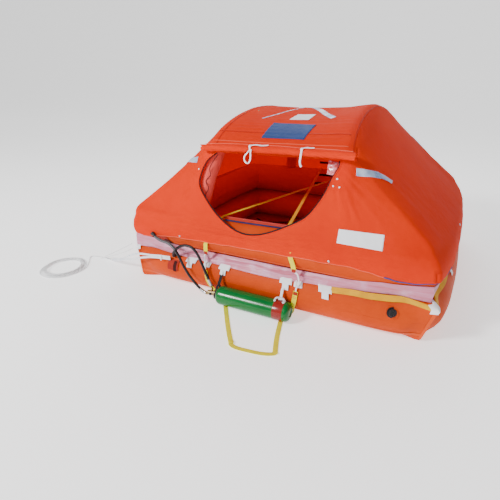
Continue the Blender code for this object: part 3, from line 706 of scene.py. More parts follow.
def build_bridle():
    route = evenly(BRIDLE, 60)
    shares = [min(max((i / 59 - 0.22) / 0.42, 0.0), 1.0) for i in range(60)]
    split = [0.012 * max(0.0, math.sin(math.pi * share)) for share in shares]
    for name, sign in (("upper", 1), ("lower", -1)):
        points = [p + Vector((0, 0, sign * (0.0085 + split[i]))) for i, p in enumerate(route)]
        points = [Vector((p.x, p.y, max(p.z, 0.0105))) for p in points]
        leg = ribbon(
            "bridle_" + name, points, 0.016, 0.0028, (0, 0.25, 1), white_webbing, "white_webbing",
            replaced=("painter_bridle",) if sign > 0 else (),
        )
        length_of(points)
    band = [Vector((-0.862 + 0.010 * i, -1.0605 - 0.0004 * i, 0.2475 - 0.0004 * i)) for i in range(2)]
    ribbon("bridle_keeper", band, 0.046, 0.006, (0, 0.1, 1), white_webbing, "white_webbing")
    eye = evenly([(-1.575, -0.925, 0.022), (-1.64, -0.913, 0.012), (-1.70, -0.905, 0.0105)], 40)
    round_cord(
        "rope_eye", eye, 0.0085, white_yarn, "white_rope", sides=12,
        profile=lambda s: 1.0 - 0.25 * s + 0.06 * math.sin(s * 90),
    )
    for name, route in LEGS.items():
        round_cord(
            "tie_cord_" + name, evenly(route, 40), 0.0026, white_yarn, "white_rope", sides=8,
            replaced=("painter_leg_" + name,),
        )


build_bridle()

# %% [markdown]
# ## Air tubes
#
# Two air tubes lie one on the other. Each is four straight tubes cut and welded at a mitre, so
# a corner has one sharp seam, a nose that draws in a little, and short puckers where the
# cloth is held. The plan function below is the same rule that shaped the frame, and every
# patch and strap later asks it where the tube's face is.

# %% Where the tubes are
HALF_X, HALF_Y = 1.20, 1.05
LOWER_RADIUS, UPPER_RADIUS = 0.155, 0.145
LOWER_Z, UPPER_Z = 0.155, 0.4556
UPPER_CORE = 0.175
CORNER_REACH, END_BOW = 0.42, 0.05
LOWER = (LOWER_RADIUS, LOWER_Z, LOWER_RADIUS)
UPPER = (UPPER_CORE, UPPER_Z, UPPER_RADIUS)
RUNS = [Vector((1, 0, 0)), Vector((0, 1, 0)), Vector((-1, 0, 0)), Vector((0, -1, 0))]
OUTS = [Vector((0, -1, 0)), Vector((1, 0, 0)), Vector((0, 1, 0)), Vector((-1, 0, 0))]
# For each corner, by the signs of x and y: how far the upper and the lower tube draw in,
# then how far the lower tube's foot is from the plan's corner, and how much it slants.
CORNERS = {
    (-1, -1): (0.020, 0.050, 0.052, 0.02),
    (1, -1): (0.050, 0.050, 0.103, 0.26),
    (1, 1): (0.045, 0.050, 0.090, 0.18),
    (-1, 1): (0.040, 0.050, 0.085, 0.16),
}


def half_run(side):
    return HALF_Y if side % 2 else HALF_X


def corner_of(side, along):
    """The nearest corner, as the signs of its x and y."""
    way = RUNS[side] * (1 if along >= 0 else -1) + OUTS[side]
    return (1 if way.x > 0 else -1, 1 if way.y > 0 else -1)


def depth_at(side, along, inset, core):
    """How deep inside the plan an inset lies, once the corner has drawn its outer face in."""
    near = max(0.0, 1 - (half_run(side) - abs(along)) / CORNER_REACH)
    pull = CORNERS[corner_of(side, along)][0 if core == UPPER_CORE else 1] * near**2
    return inset if inset >= core else pull + inset * (1 - pull / core)


def plan_place(side, along, k, height):
    """A place on the raft: which side, how far from its middle, how deep in, how high."""
    reach, depth = half_run(side), half_run(side + 1)
    bow = END_BOW * (1 - (along / HALF_Y) ** 2) if side % 2 else 0.0
    spot = RUNS[side] * (along * (reach - k) / reach) + OUTS[side] * (depth + bow - k)
    return Vector((spot.x, spot.y, height))


def plan_point(side, along, inset, height, core):
    return plan_place(side, along, depth_at(side, along, inset, core), height)


def corner_face(side, along, angle, height):
    """The depth of the lower tube's outer face right at a corner, where its seam stands up."""
    _, _, foot, slant = CORNERS[corner_of(side, along)]
    over = min(max((angle - 50) / 40, 0.0), 1.0)
    over = over * over * (3 - 2 * over)
    return (foot - slant * height) * (1 - over) + LOWER_RADIUS * over


def on_tube(tube, side, along, angle, lift=0.0):
    """A place on a tube's face. The angle is in degrees: 0 outwards, 90 on top."""
    core, middle, radius = tube
    turn = math.radians(angle)
    inset = core - (radius + lift) * math.cos(turn)
    height = middle + (radius + lift) * math.sin(turn)
    k = depth_at(side, along, inset, core)
    if tube is LOWER and math.cos(turn) > -0.01:
        near = max(0.0, 1 - (half_run(side) - abs(along)) / 0.20)
        share = near * near * (3 - 2 * near)
        signed = (angle + 180) % 360 - 180
        k += (corner_face(side, along, signed, height) - lift - k) * share
    return plan_place(side, along, k, height)


def outward(tube, side, along, angle):
    """The direction square to the tube's face at a place on it."""
    inner = on_tube(tube, side, along, angle)
    return (on_tube(tube, side, along, angle, 0.01) - inner).normalized()


def round_the_raft(share):
    """(side, distance from its middle) at a share of the way round, closer near corners."""
    turn = (share % 1.0) * 4
    side = min(int(turn), 3)
    spread = 2 * (turn - side) - 1
    return side, half_run(side) * (0.55 * spread + 0.45 * math.sin(math.pi * spread / 2))


def across_corner(corner, step):
    """The side and the place on it, this far past a corner's seam or, below 0, before it."""
    if step < 0:
        return (corner - 1) % 4, half_run(corner - 1) + step
    return corner, step - half_run(corner)


def pucker(side, along, angle, size):
    """Small creases beside a mitre seam, and long slow waves on the straight runs."""
    gap = half_run(side) - abs(along)
    near = math.exp(-gap / 0.045) * (1 - math.exp(-gap / 0.006))
    ridges = math.sin(math.radians(angle) * 11 + side) + 0.6 * math.sin(math.radians(angle) * 19 + 2 * side)
    wave = noise.noise(Vector((along * 2.2 + side * 9, angle * 0.02, 3.1)))
    return size * near * ridges + 0.0022 * wave


# %% The two tubes
SKIN_DEPTH = 0.0022


def build_tube_skin(name, tube, node, size):
    around, sides = 4 * 44, 56
    sheet = flat_grid(around, sides, 9.0, 2 * math.pi * tube[2])

    def place(u, v):
        side, along = round_the_raft(u)
        angle = 360 * v
        spot = on_tube(tube, side, along, angle)
        way = outward(tube, side, along, angle)
        spot += way * (pucker(side, along, angle, size) - SKIN_DEPTH)
        spot.z = max(spot.z, 0.0006)
        return spot

    bend(sheet, place)
    return finish_piece(name, sheet, tube_cloth, "tube_fabric", replaced=(node,), sharp=60)


raft_skin_lower = build_tube_skin("raft_skin_lower", LOWER, "lower_tube", 0.0035)
raft_skin_upper = build_tube_skin("raft_skin_upper", UPPER, "upper_tube", 0.0030)
print("tube faces", len(raft_skin_lower.data.polygons), len(raft_skin_upper.data.polygons))

# %% [markdown]
# Welded strips cover the seams of the tubes: one runs low round the outer face, and one
# crosses each corner along the mitre. They are thin bands that sit just proud of the tube.


# %% Seam strips
STRIP_LIFT, STRIP_THICK = 0.0012, 0.0014


def ring_strip(name, tube, middle_angle, width):
    """A welded band round the raft on a tube's face."""
    half = math.degrees(width / 2 / tube[2])
    face = [(half * share, STRIP_THICK) for share in (-1, -1 / 3, 1 / 3, 1)]
    spots = [(-half, 0.0)] + face + [(half, 0.0)]
    sheet = flat_grid(4 * 44, len(spots), 9.0, 1.0)

    def place(u, v):
        side, along = round_the_raft(u)
        step, rise = spots[round(v * len(spots)) % len(spots)]
        spot = on_tube(tube, side, along, middle_angle + step)
        spot += outward(tube, side, along, middle_angle + step) * (
            STRIP_LIFT + rise + pucker(side, along, middle_angle + step, 0.0) - SKIN_DEPTH
        )
        return spot

    bend(sheet, place)
    return finish_piece(name, sheet, seam_cloth, "tube_fabric", sharp=30)


seam_cloth = coated_cloth("seam_cloth", (0.70, 0.092, 0.018), (0.60, 0.070, 0.013), 0.42, crease=0.12)
ring_strip("seam_strip_low", LOWER, -42, 0.030)
ring_strip("seam_strip_upper", UPPER, -40, 0.024)


def build_mitre_strips():
    for corner in range(4):
        for name, tube, low, high in (("lower", LOWER, -60, 78), ("upper", UPPER, -70, -30)):
            sheet = flat_grid(6, 24, 0.03, 0.4)

            def place(u, v):
                angle = low + (high - low) * v
                side, along = across_corner(corner, 0.036 * (u - 0.5))
                lift = 0.0016 + 0.0012 * (1 - abs(2 * u - 1))
                return on_tube(tube, side, along, angle) + outward(tube, side, along, angle) * lift

            bend(sheet, place, merge=False)
            strip = finish_piece("mitre_strip_%s_%d" % (name, corner + 1), sheet, seam_cloth, "tube_fabric")
            thicken(strip, 0.001)


build_mitre_strips()

# %% [markdown]
# A pale translucent film closes the gap between the tubes, from the underside of the upper one
# to the top of the lower one. It is never tight: it hangs in shallow folds that run along
# the raft, so the grid is finer across its width than it needs to be and noise moves it.


# %% Film between the tubes
FILM_HEAD = {
    0: [
        (-1.20, -22), (-1.00, -30), (-0.75, -52), (-0.50, -58), (0.25, -58), (0.65, -48), (0.90, -26),
        (1.20, -18)
    ],
    1: [(-1.05, -18), (-0.70, -32), (-0.30, -50), (0.60, -54), (1.05, -32)],
    2: [(-1.20, -32), (-0.80, -54), (0.80, -54), (1.20, -32)],
    3: [(-1.05, -32), (-0.60, -54), (0.60, -52), (1.05, -22)],
}
FILM_FOOT = {
    0: [(-1.20, 54), (-0.60, 46), (0.10, 40), (0.45, 48), (0.75, 57), (1.08, 65), (1.20, 68)],
    1: [(-1.05, 68), (-0.42, 66), (0.0, 58), (0.5, 53), (1.05, 52)],
}


def marked(marks, along):
    """A value read from (place, value) marks, eased between them."""
    for (a, low), (b, high) in zip(marks, marks[1:]):
        if along <= b:
            share = min(max((along - a) / (b - a), 0.0), 1.0)
            return low + (high - low) * share * share * (3 - 2 * share)
    return marks[-1][1]


def build_film():
    sheet = flat_grid(4 * 70, 16, 9.0, 0.10)

    def place(u, v):
        side, along = round_the_raft(u)
        low = on_tube(LOWER, side, along, marked(FILM_FOOT.get(side, [(0, 51), (1, 51)]), along), 0.003)
        high = on_tube(UPPER, side, along, marked(FILM_HEAD[side], along), 0.003)
        width = (high - low).length
        middle = math.sin(math.pi * v)
        slack = 0.010 * noise.noise(Vector((along * 3.0 + 7 * side, v * width * 30, 0.3)))
        slack += 0.0055 * noise.noise(Vector((along * 10.0 + 3 * side, v * width * 60, 1.9)))
        slack += 0.0030 * noise.noise(Vector((along * 26.0 + 3 * side, v * width * 90, 4.9)))
        away = (OUTS[side] * 0.75 + Vector((0, 0, 0.65))) * (middle * (slack + 0.045 * width))
        return low.lerp(high, v) + away

    bend(sheet, place)
    obj = finish_piece("gap_film", sheet, film, "band_fabric", replaced=("tube_band",), sharp=50)
    return thicken(obj, 0.0012)


build_film()

# %% [markdown]
# ## The canopy
#
# On the real raft the canopy is one cloth. It is drawn over two inflated arches, falls to the
# upper tube in front and behind, slopes down to both ends, and is laced round the tube's outer
# face. It could be simulated, but a stretched cloth hardly moves, so its surface is built from
# rules: grids for the roof, the walls, the ends and the skirt that share their edge points.
# They are merged into one sheet, relaxed a little, and the tension folds are raised last.

# %% Lines of the canopy
EDGE_X, ARCH_X, EDGE_DROP, ROOF_SAG = 0.61, 0.545, 0.03, 0.02
WALL_LINE = [
    Vector((0, y, z)) for y, z in ((-0.80, 1.085), (-0.895, 0.90), (-0.955, 0.68), (-1.0105, 0.5175))
]
ROOF_HALF = [(-0.80, 1.085), (-0.70, 1.165), (-0.515, 1.24), (-0.27, 1.292), (0.0, 1.312)]
ROOF_LINE = [Vector((0, y, z)) for y, z in ROOF_HALF] + [
    Vector((0, -y, z)) for y, z in reversed(ROOF_HALF[:-1])
]
FOOT_INSET, FOOT_Z, FOOT_ANGLE = 0.0395, 0.5175, 24.55
FOOT_SPREAD = 1 - FOOT_INSET / HALF_X
# How far each arch leans towards the other one, as (height, lean)
ARCH_LEAN = {
    -1: [(0.62, 0.0), (1.02, 0.080), (1.32, 0.085)], 1: [(0.62, 0.0), (1.02, 0.020), (1.28, 0.095)]
}
CREASES = {
    (0, 0): [(0.124, 0.671), (0.0535, 0.606)],
    (1, 0): [(0.150, 0.650), (0.075, 0.580)],
    (1, 1): [(0.140, 0.655), (0.070, 0.585)],
    (0, 1): [(0.140, 0.655), (0.070, 0.585)],
}
EDGE_ALONG = EDGE_X / FOOT_SPREAD


def even_line(points, count=200):
    """A function that gives the point at a share of a smooth line's length."""
    fine = evenly(points, count + 1)

    def at(share):
        spot = min(max(share, 0.0), 1.0) * count
        i = min(int(spot), count - 1)
        return fine[i].lerp(fine[i + 1], spot - i)

    return at


wall_line = even_line(WALL_LINE)
roof_line = even_line(ROOF_LINE, 400)


def roof_inward(share):
    """The direction square to the roof's line, towards the cabin."""
    way = (roof_line(min(share + 0.01, 1)) - roof_line(max(share - 0.01, 0))).normalized()
    return Vector((0, way.z, -way.y))


def arch_drop(x):
    """How far the cloth turns down over the arch at this x."""
    over = max(0.0, (abs(x) - ARCH_X) / (EDGE_X - ARCH_X))
    return EDGE_DROP * over**2


def lean(side, height):
    """How far the arch on one side leans inwards at this height."""
    marks = ARCH_LEAN[side]
    for (low, a), (high, b) in zip(marks, marks[1:]):
        if height <= high:
            return a + (b - a) * min(max((height - low) / (high - low), 0.0), 1.0)
    return marks[-1][1]


def leaned_x(x, height):
    """An x between the canopy's two edges, moved in with the leaning arches."""
    left, right = -EDGE_X + lean(-1, height), EDGE_X - lean(1, height)
    return left + (right - left) * (x / EDGE_X + 1) / 2


def plain_x(x, height):
    """The other way round: the x that leaned_x would move to this one."""
    left, right = -EDGE_X + lean(-1, height), EDGE_X - lean(1, height)
    return EDGE_X * (2 * (x - left) / (right - left) - 1)


def roof_point(x, share):
    spot = roof_line(share) + roof_inward(share) * arch_drop(x)
    hump = (1 - (spot.y / 0.8) ** 2) if abs(spot.y) < 0.8 else 0.0
    sag = ROOF_SAG * max(0.0, 1 - (x / ARCH_X) ** 2)
    rise = 0.014 * math.exp(-(((x - 0.52) / 0.16) ** 2))
    return Vector((leaned_x(x, spot.z), spot.y, spot.z + (rise - sag) * hump))


def wall_point(x, share, back):
    spot = wall_line(share) + roof_inward(0.0) * (arch_drop(x) * (1 - share) ** 2)
    return Vector((leaned_x(x, spot.z), -spot.y if back else spot.y, spot.z))


def foot_point(side, along):
    return plan_point(side, along, FOOT_INSET, FOOT_Z, UPPER_CORE)


def corner_line(right, back):
    """The soft edge from the arch's knee down to the tube's corner."""
    turn = Vector((1 if right else -1, 1 if back else -1, 1))
    pull = CORNERS[turn.x, turn.y][0]
    points = [wall_point(EDGE_X if right else -EDGE_X, 0, back)]
    for inset, height in CREASES[right, back] + [(FOOT_INSET, FOOT_Z)]:
        k = pull + inset * (1 - pull / UPPER_CORE)
        points.append(Vector((turn.x * (HALF_X - k), turn.y * (HALF_Y - k), height)))
    return even_line(points)


corner_lines = {(right, back): corner_line(right, back) for right in (0, 1) for back in (0, 1)}


def wall_side(q, share, right, back):
    """The wall between an arch, at q of 0, and the corner line, at q of 1."""
    x = EDGE_X if right else -EDGE_X
    edge = wall_point(x, share, back).lerp(corner_lines[right, back](share), q)
    straight = wall_point(x, 1, back).lerp(corner_lines[right, back](1), q)
    along = EDGE_ALONG + (HALF_X - EDGE_ALONG) * q
    side = 2 if back else 0
    if bool(right) == bool(back):
        along = -along
    return edge + (foot_point(side, along) - straight) * share**1.5


def end_line(top, along, right):
    """One line of an end panel: straight to the tube's shoulder, then round it to the skirt."""
    side = 1 if right else 3
    along = along if right else -along
    shoulder, bend_in = (on_tube(UPPER, side, along, angle, 0.0045) for angle in (45, 35))
    down = [top.lerp(shoulder, share) for share in (0, 0.25, 0.5, 0.75)]
    return even_line(down + [shoulder, bend_in, foot_point(side, along)], 80)


def end_lines(right):
    """A line for each column of an end panel, from the front corner to the back one."""
    x = EDGE_X if right else -EDGE_X
    shares = [i / END_COLUMNS for i in range(END_COLUMNS + 1)]
    return [end_line(roof_point(x, share), HALF_Y * (2 * share - 1), right) for share in shares]


WALL_ROWS, WALL_COLUMNS, SIDE_COLUMNS, END_COLUMNS = 44, 84, 40, 112
END_LINES = {right: end_lines(right) for right in (0, 1)}


def end_point(across, share, right):
    """An end panel: across runs from the front corner to the back one, share down from the arch."""
    lines = END_LINES[right]
    spot = lines[round(across * END_COLUMNS)](share)
    back = 0 if across < 0.5 else 1
    near = max(0.0, 1 - min(across, 1 - across) * 5)
    near = near * near * (3 - 2 * near)
    offset = (corner_lines[right, back](share) - lines[-back](share)) * near
    slack = -0.014 * math.sin(math.pi * min(share / 0.85, 1)) * math.sin(math.pi * across) ** 0.7
    return spot + offset + Vector((0.8 if right else -0.8, 0, 0.6)) * slack


# %% [markdown]
# The door is a wide D lying on its back: flat under the roll, round below. Its outline is
# followed by rings of faces that widen into the square edge of the wall, as a tailor's
# facing would, so that the opening has a clean edge without any cutting.

# %% The door's edge
DOOR_MIDDLE = (-0.02, 0.82)
DOOR_EDGE = [
    (-0.42, 1.064), (-0.486, 1.010), (-0.519, 0.938), (-0.526, 0.845), (-0.47, 0.755), (-0.364, 0.65),
    (-0.232, 0.573), (-0.129, 0.544), (-0.034, 0.547), (0.068, 0.575), (0.203, 0.638), (0.317, 0.708),
    (0.388, 0.80), (0.432, 0.881), (0.461, 0.968), (0.489, 1.031), (0.486, 1.064),
]
door_curve = evenly([Vector((x, 0, z)) for x, z in DOOR_EDGE], 240)


def door_spot(x, z):
    """Where the line from the door's middle to (x, z) crosses the door's edge."""
    middle = Vector((DOOR_MIDDLE[0], 0, DOOR_MIDDLE[1]))
    way = Vector((x, 0, z)) - middle
    ring = door_curve + [door_curve[0]]
    for a, b in zip(ring, ring[1:]):
        edge = b - a
        cross = way.x * edge.z - way.z * edge.x
        if abs(cross) < 1e-9:
            continue
        reach = ((a.x - middle.x) * edge.z - (a.z - middle.z) * edge.x) / cross
        part = ((a.x - middle.x) * way.z - (a.z - middle.z) * way.x) / cross
        if reach > 0 and -1e-6 <= part <= 1 + 1e-6:
            return middle + way * reach
    return middle


def share_at_height(z):
    """The share down the wall's line at which it has this height."""
    low, high = 0.0, 1.0
    for _ in range(30):
        half = (low + high) / 2
        if wall_line(half).z > z:
            low = half
        else:
            high = half
    return (low + high) / 2


def wall_border(i):
    """(x, share) round the border of the wall's middle, from its top left, along the top."""
    if i <= WALL_COLUMNS:
        return -EDGE_X + 2 * EDGE_X * i / WALL_COLUMNS, 0.0
    i -= WALL_COLUMNS
    if i <= WALL_ROWS:
        return EDGE_X, i / WALL_ROWS
    i -= WALL_ROWS
    if i <= WALL_COLUMNS:
        return EDGE_X - 2 * EDGE_X * i / WALL_COLUMNS, 1.0
    return -EDGE_X, 1 - (i - WALL_COLUMNS) / WALL_ROWS


BORDER = 2 * (WALL_COLUMNS + WALL_ROWS)
door_rim = []
for i in range(BORDER):
    x, share = wall_border(i)
    spot = wall_point(x, share, False)
    rim = door_spot(spot.x, spot.z)
    door_rim.append((plain_x(rim.x, rim.z), share_at_height(rim.z)))
print("door", round(2 * max(abs(x) for x, _ in door_rim), 3), "m wide")


# %% [markdown]
# ## Folds
#
# Stretched cloth shows where it is pulled from: narrow ridges leave the pulling point and
# widen as they fade. Each fold here is a straight stroke with a height, a width at each end
# and a shallow valley on both sides, raised along the surface's own normal.

# %% Raising folds
FRONT_FOLDS = [
    ((0.520, -0.868, 1.00), (0.86, -0.968, 0.66), 0.0145, 0.013, 0.039),
    ((0.512, -0.880, 0.97), (0.72, -0.985, 0.61), 0.0110, 0.011, 0.028),
    ((0.500, -0.885, 0.94), (0.585, -0.950, 0.70), 0.0093, 0.010, 0.020),
    ((0.470, -0.890, 0.90), (0.505, -0.935, 0.74), 0.0102, 0.008, 0.014),
    ((0.545, -0.850, 1.01), (1.00, -0.925, 0.70), 0.0119, 0.013, 0.039),
    ((0.610, -0.860, 0.95), (0.93, -0.955, 0.72), 0.0128, 0.011, 0.027),
    ((-0.530, -0.850, 1.00), (-0.545, -0.900, 0.87), 0.0128, 0.008, 0.014),
    ((-0.560, -0.840, 1.01), (-0.600, -0.900, 0.86), 0.0123, 0.008, 0.016),
    ((-0.590, -0.835, 1.02), (-0.680, -0.905, 0.84), 0.0102, 0.008, 0.017),
    ((-0.610, -0.905, 0.80), (-0.720, -0.940, 0.71), 0.0106, 0.009, 0.011),
    ((-0.590, -0.920, 0.76), (-0.690, -0.950, 0.69), 0.0092, 0.008, 0.010),
    ((-0.950, -0.985, 0.600), (-0.420, -0.985, 0.585), 0.0087, 0.011, 0.012),
    ((-0.880, -0.995, 0.560), (-0.300, -1.000, 0.545), 0.0087, 0.010, 0.011),
    ((-0.780, -0.975, 0.640), (-0.480, -0.970, 0.620), 0.0066, 0.010, 0.011),
    ((-0.560, -1.010, 0.515), (0.100, -1.012, 0.512), 0.0092, 0.010, 0.011),
    ((0.020, -1.002, 0.545), (0.560, -0.990, 0.575), 0.0092, 0.010, 0.012),
    ((0.110, -0.990, 0.580), (0.560, -0.975, 0.615), 0.0077, 0.010, 0.012),
    ((0.150, -1.008, 0.520), (0.700, -1.005, 0.530), 0.0092, 0.010, 0.012),
    ((0.260, -0.975, 0.640), (0.560, -0.960, 0.670), 0.0066, 0.010, 0.011),
]
OTHER_FOLDS = [
    ((0.640, -0.780, 1.06), (1.03, -0.860, 0.72), 0.0084, 0.016, 0.045),
    ((0.640, -0.740, 1.09), (1.06, -0.700, 0.70), 0.0084, 0.020, 0.060),
    ((0.650, -0.600, 1.16), (1.08, -0.480, 0.68), 0.0063, 0.022, 0.060),
    ((0.640, 0.740, 1.09), (1.06, 0.720, 0.70), 0.0084, 0.020, 0.060),
    ((-0.640, -0.740, 1.09), (-1.06, -0.720, 0.70), 0.0084, 0.020, 0.060),
    ((-0.640, 0.740, 1.09), (-1.06, 0.720, 0.70), 0.0084, 0.020, 0.060),
    ((-0.650, 0.560, 1.17), (-1.08, 0.420, 0.68), 0.0063, 0.022, 0.060),
    ((0.520, 0.868, 1.00), (0.90, 0.960, 0.66), 0.0112, 0.016, 0.050),
    ((0.500, 0.885, 0.97), (0.62, 0.985, 0.62), 0.0084, 0.014, 0.036),
    ((-0.520, 0.868, 1.00), (-0.90, 0.960, 0.66), 0.0112, 0.016, 0.050),
    ((-0.500, 0.885, 0.97), (-0.62, 0.985, 0.62), 0.0084, 0.014, 0.036),
    ((-0.400, 0.905, 0.90), (-0.20, 0.985, 0.62), 0.0063, 0.018, 0.040),
    ((0.350, 0.905, 0.90), (0.24, 0.985, 0.62), 0.0063, 0.018, 0.040),
    ((-0.800, 0.995, 0.560), (0.750, 1.000, 0.550), 0.0048, 0.014, 0.016),
]


def stroke_height(spot, stroke):
    """What one fold adds at a place."""
    start, end, height, first, last = stroke
    start, end = Vector(start), Vector(end)
    way = end - start
    share = (spot - start).dot(way) / way.length_squared
    if share < -0.15 or share > 1.0:
        return 0.0
    gap = (spot - start - way * share).length
    width = first + (last - first) * max(share, 0.0)
    if gap > 3.2 * width:
        return 0.0
    fade = min(1.0, (share + 0.15) / 0.25) * math.sqrt(1 - max(share, 0.0))
    ratio = (gap / width) ** 2
    return height * fade * (1 - 0.9 * ratio) * math.exp(-ratio)


def ripples(spot):
    """Fine waves of the roof, and slow bellying everywhere."""
    slow = 0.0050 * noise.noise(Vector((spot.x * 2.6, spot.y * 2.6, spot.z * 2.6)))
    fine = 0.0016 * noise.noise(Vector((spot.x * 9.0, spot.y * 9.0, spot.z * 9.0)))
    roof = max(0.0, min(1.0, (spot.z - 1.09) / 0.05)) * max(0.0, 1 - (spot.x / 0.56) ** 8)
    bend_of_wave = 5.0 * noise.noise(Vector((spot.x * 2.1, spot.y * 5.0, 0.7)))
    wave = 0.0029 * math.sin(spot.y * 135 + bend_of_wave)
    wave *= 0.55 + noise.noise(Vector((spot.x * 3, spot.y * 6, 5)))
    hem = math.exp(-(((spot.z - 0.545) / 0.05) ** 2))
    low = 0.0014 * math.sin(spot.z * 190 + 4 * noise.noise(Vector((spot.x * 2.5, spot.y * 2.5, 2.0))))
    return slow + fine + roof * wave + hem * low


TUBE_GAP = 0.0042


def outside_upper_tube(spot):
    """Moves a place off the upper tube, if it is inside it."""
    front = HALF_Y - abs(spot.y) < HALF_X - abs(spot.x)
    along, reach = (spot.x, HALF_X) if front else (spot.y, HALF_Y)
    bow = 0.0 if front else END_BOW * (1 - (along / HALF_Y) ** 2)
    depth = (HALF_Y - abs(spot.y)) if front else (HALF_X + bow - abs(spot.x))
    if spot.z > UPPER_Z + UPPER_RADIUS + TUBE_GAP or depth > 2 * UPPER_CORE:
        return spot
    corner = CORNERS[1 if spot.x > 0 else -1, 1 if spot.y > 0 else -1]
    pull = corner[0] * max(0.0, 1 - (reach - min(abs(along), reach)) / CORNER_REACH) ** 2
    shrink = 1 - pull / UPPER_CORE
    inset = (depth - pull) / shrink if depth < UPPER_CORE else depth
    side, rise = UPPER_CORE - inset, spot.z - UPPER_Z
    away = math.hypot(side, rise)
    wanted = UPPER_RADIUS + TUBE_GAP
    if away >= wanted or away < 0.02:
        return spot
    inset = UPPER_CORE - side * wanted / away
    depth = pull + inset * shrink if inset < UPPER_CORE else inset
    out = Vector((spot.x, spot.y, UPPER_Z + rise * wanted / away))
    if front:
        out.y = math.copysign(HALF_Y - depth, spot.y)
    else:
        out.x = math.copysign(HALF_X + bow - depth, spot.x)
    return out


# %% [markdown]
# The skirt's hem is not level. It rides high along the front, where the boarding straps come
# out from under it, and it is pulled down at the corners, where a blue cord runs through it.

# %% The hem
HEM_ANGLES = {
    0: [
        (-1.20, -31), (-1.05, -28), (-0.90, -14), (-0.68, -8), (-0.45, -6), (0.02, -2), (0.40, 0),
        (0.66, 1), (0.78, -3), (0.87, -10), (0.95, -14), (1.06, -14), (1.20, -9)
    ],
    1: [(-1.05, -9), (-0.93, -8), (-0.80, -7), (-0.60, -3), (0.0, 1), (0.70, -2), (0.90, -10), (1.05, -14)],
    2: [(-1.20, -14), (-1.05, -9), (-0.85, -1), (0.0, 2), (0.85, -1), (1.05, -9), (1.20, -14)],
    3: [(-1.05, -14), (-0.90, -8), (-0.6, -1), (0.5, 0), (0.85, -16), (1.05, -31)],
}


def hem_angle(side, along):
    return marked(HEM_ANGLES[side], along) + 0.7 * math.sin(along * 23 + side) + 0.4 * math.sin(along * 51)


def skirt_alongs(side):
    """The stations of one side of the skirt, the same as those of the panel above it."""
    if side % 2:
        return [HALF_Y * (2 * i / END_COLUMNS - 1) for i in range(END_COLUMNS + 1)]
    out = [-HALF_X + (HALF_X - EDGE_ALONG) * i / SIDE_COLUMNS for i in range(SIDE_COLUMNS)]
    out += [-EDGE_ALONG + 2 * EDGE_ALONG * i / WALL_COLUMNS for i in range(WALL_COLUMNS)]
    return out + [EDGE_ALONG + (HALF_X - EDGE_ALONG) * i / SIDE_COLUMNS for i in range(SIDE_COLUMNS + 1)]


def skirt_point(side, along, share):
    low = hem_angle(side, along)
    angle = FOOT_ANGLE + (low - FOOT_ANGLE) * share
    flare = 0.0035 * share * share * (0.6 + 0.8 * noise.noise(Vector((along * 5, side * 3.0, 8.0))))
    return on_tube(UPPER, side, along, angle, 0.004 + flare)


# %% One sheet from many grids
def add_grid(whole, across, along, place):
    """Bends one grid into place and adds it to the whole sheet."""
    part = bend(flat_grid(across, along), place, merge=False)
    mesh = bpy.data.meshes.new("part")
    part.to_mesh(mesh)
    part.free()
    whole.from_mesh(mesh)
    bpy.data.meshes.remove(mesh)


def facing(u, v):
    """The wall round the door: v is 0 at the door's edge and 1 at the wall's border."""
    i = round(u * BORDER) % BORDER
    x, share = wall_border(i)
    rim_x, rim_share = door_rim[i]
    v = v**1.25
    return wall_point(rim_x + (x - rim_x) * v, rim_share + (share - rim_share) * v, False)


def canopy_sheet():
    whole = bmesh.new()
    add_grid(whole, WALL_COLUMNS, END_COLUMNS, lambda u, v: roof_point(EDGE_X * (2 * u - 1), v))
    add_grid(whole, WALL_COLUMNS, WALL_ROWS, lambda u, v: wall_point(EDGE_X * (2 * u - 1), v, True))
    add_grid(whole, BORDER, 12, facing)
    for right in (0, 1):
        add_grid(whole, END_COLUMNS, WALL_ROWS, lambda u, v: end_point(u, v, right))
        for back in (0, 1):
            add_grid(whole, SIDE_COLUMNS, WALL_ROWS, lambda u, v: wall_side(u, v, right, back))
    for side in range(4):
        stations = skirt_alongs(side)
        count = len(stations) - 1
        add_grid(whole, count, 9, lambda u, v: skirt_point(side, stations[round(u * count)], v))
    bmesh.ops.remove_doubles(whole, verts=whole.verts, dist=0.0004)
    bmesh.ops.recalc_face_normals(whole, faces=whole.faces)
    return whole


def relax_and_fold(whole):
    """Softens the seams between the grids, clears the tube, then raises the folds."""
    free = [vert for vert in whole.verts if not vert.is_boundary]
    for _ in range(5):
        soften(whole, free)
    for vert in free:
        vert.co = outside_upper_tube(vert.co)
    whole.normal_update()
    folds = FRONT_FOLDS + OTHER_FOLDS
    moves = []
    for vert in free:
        height = ripples(vert.co)
        for stroke in folds:
            if (vert.co.y < 0) == (stroke[0][1] < 0) or abs(vert.co.x) > 0.62:
                height += stroke_height(vert.co, stroke)
        rim = 1.0
        if vert.co.y < -0.7 and abs(vert.co.x) < 0.62 and vert.co.z > 0.5:
            edge = door_spot(vert.co.x, vert.co.z)
            rim = min(1.0, math.hypot(edge.x - vert.co.x, edge.z - vert.co.z) / 0.035)
        moves.append((vert, vert.normal * (height * rim)))
    for vert, move in moves:
        vert.co = outside_upper_tube(vert.co + move)


canopy_mesh = canopy_sheet()
relax_and_fold(canopy_mesh)
area = sum(face.calc_area() for face in canopy_mesh.faces)
print("canopy", len(canopy_mesh.faces), "faces,", round(area, 2), "square metres")
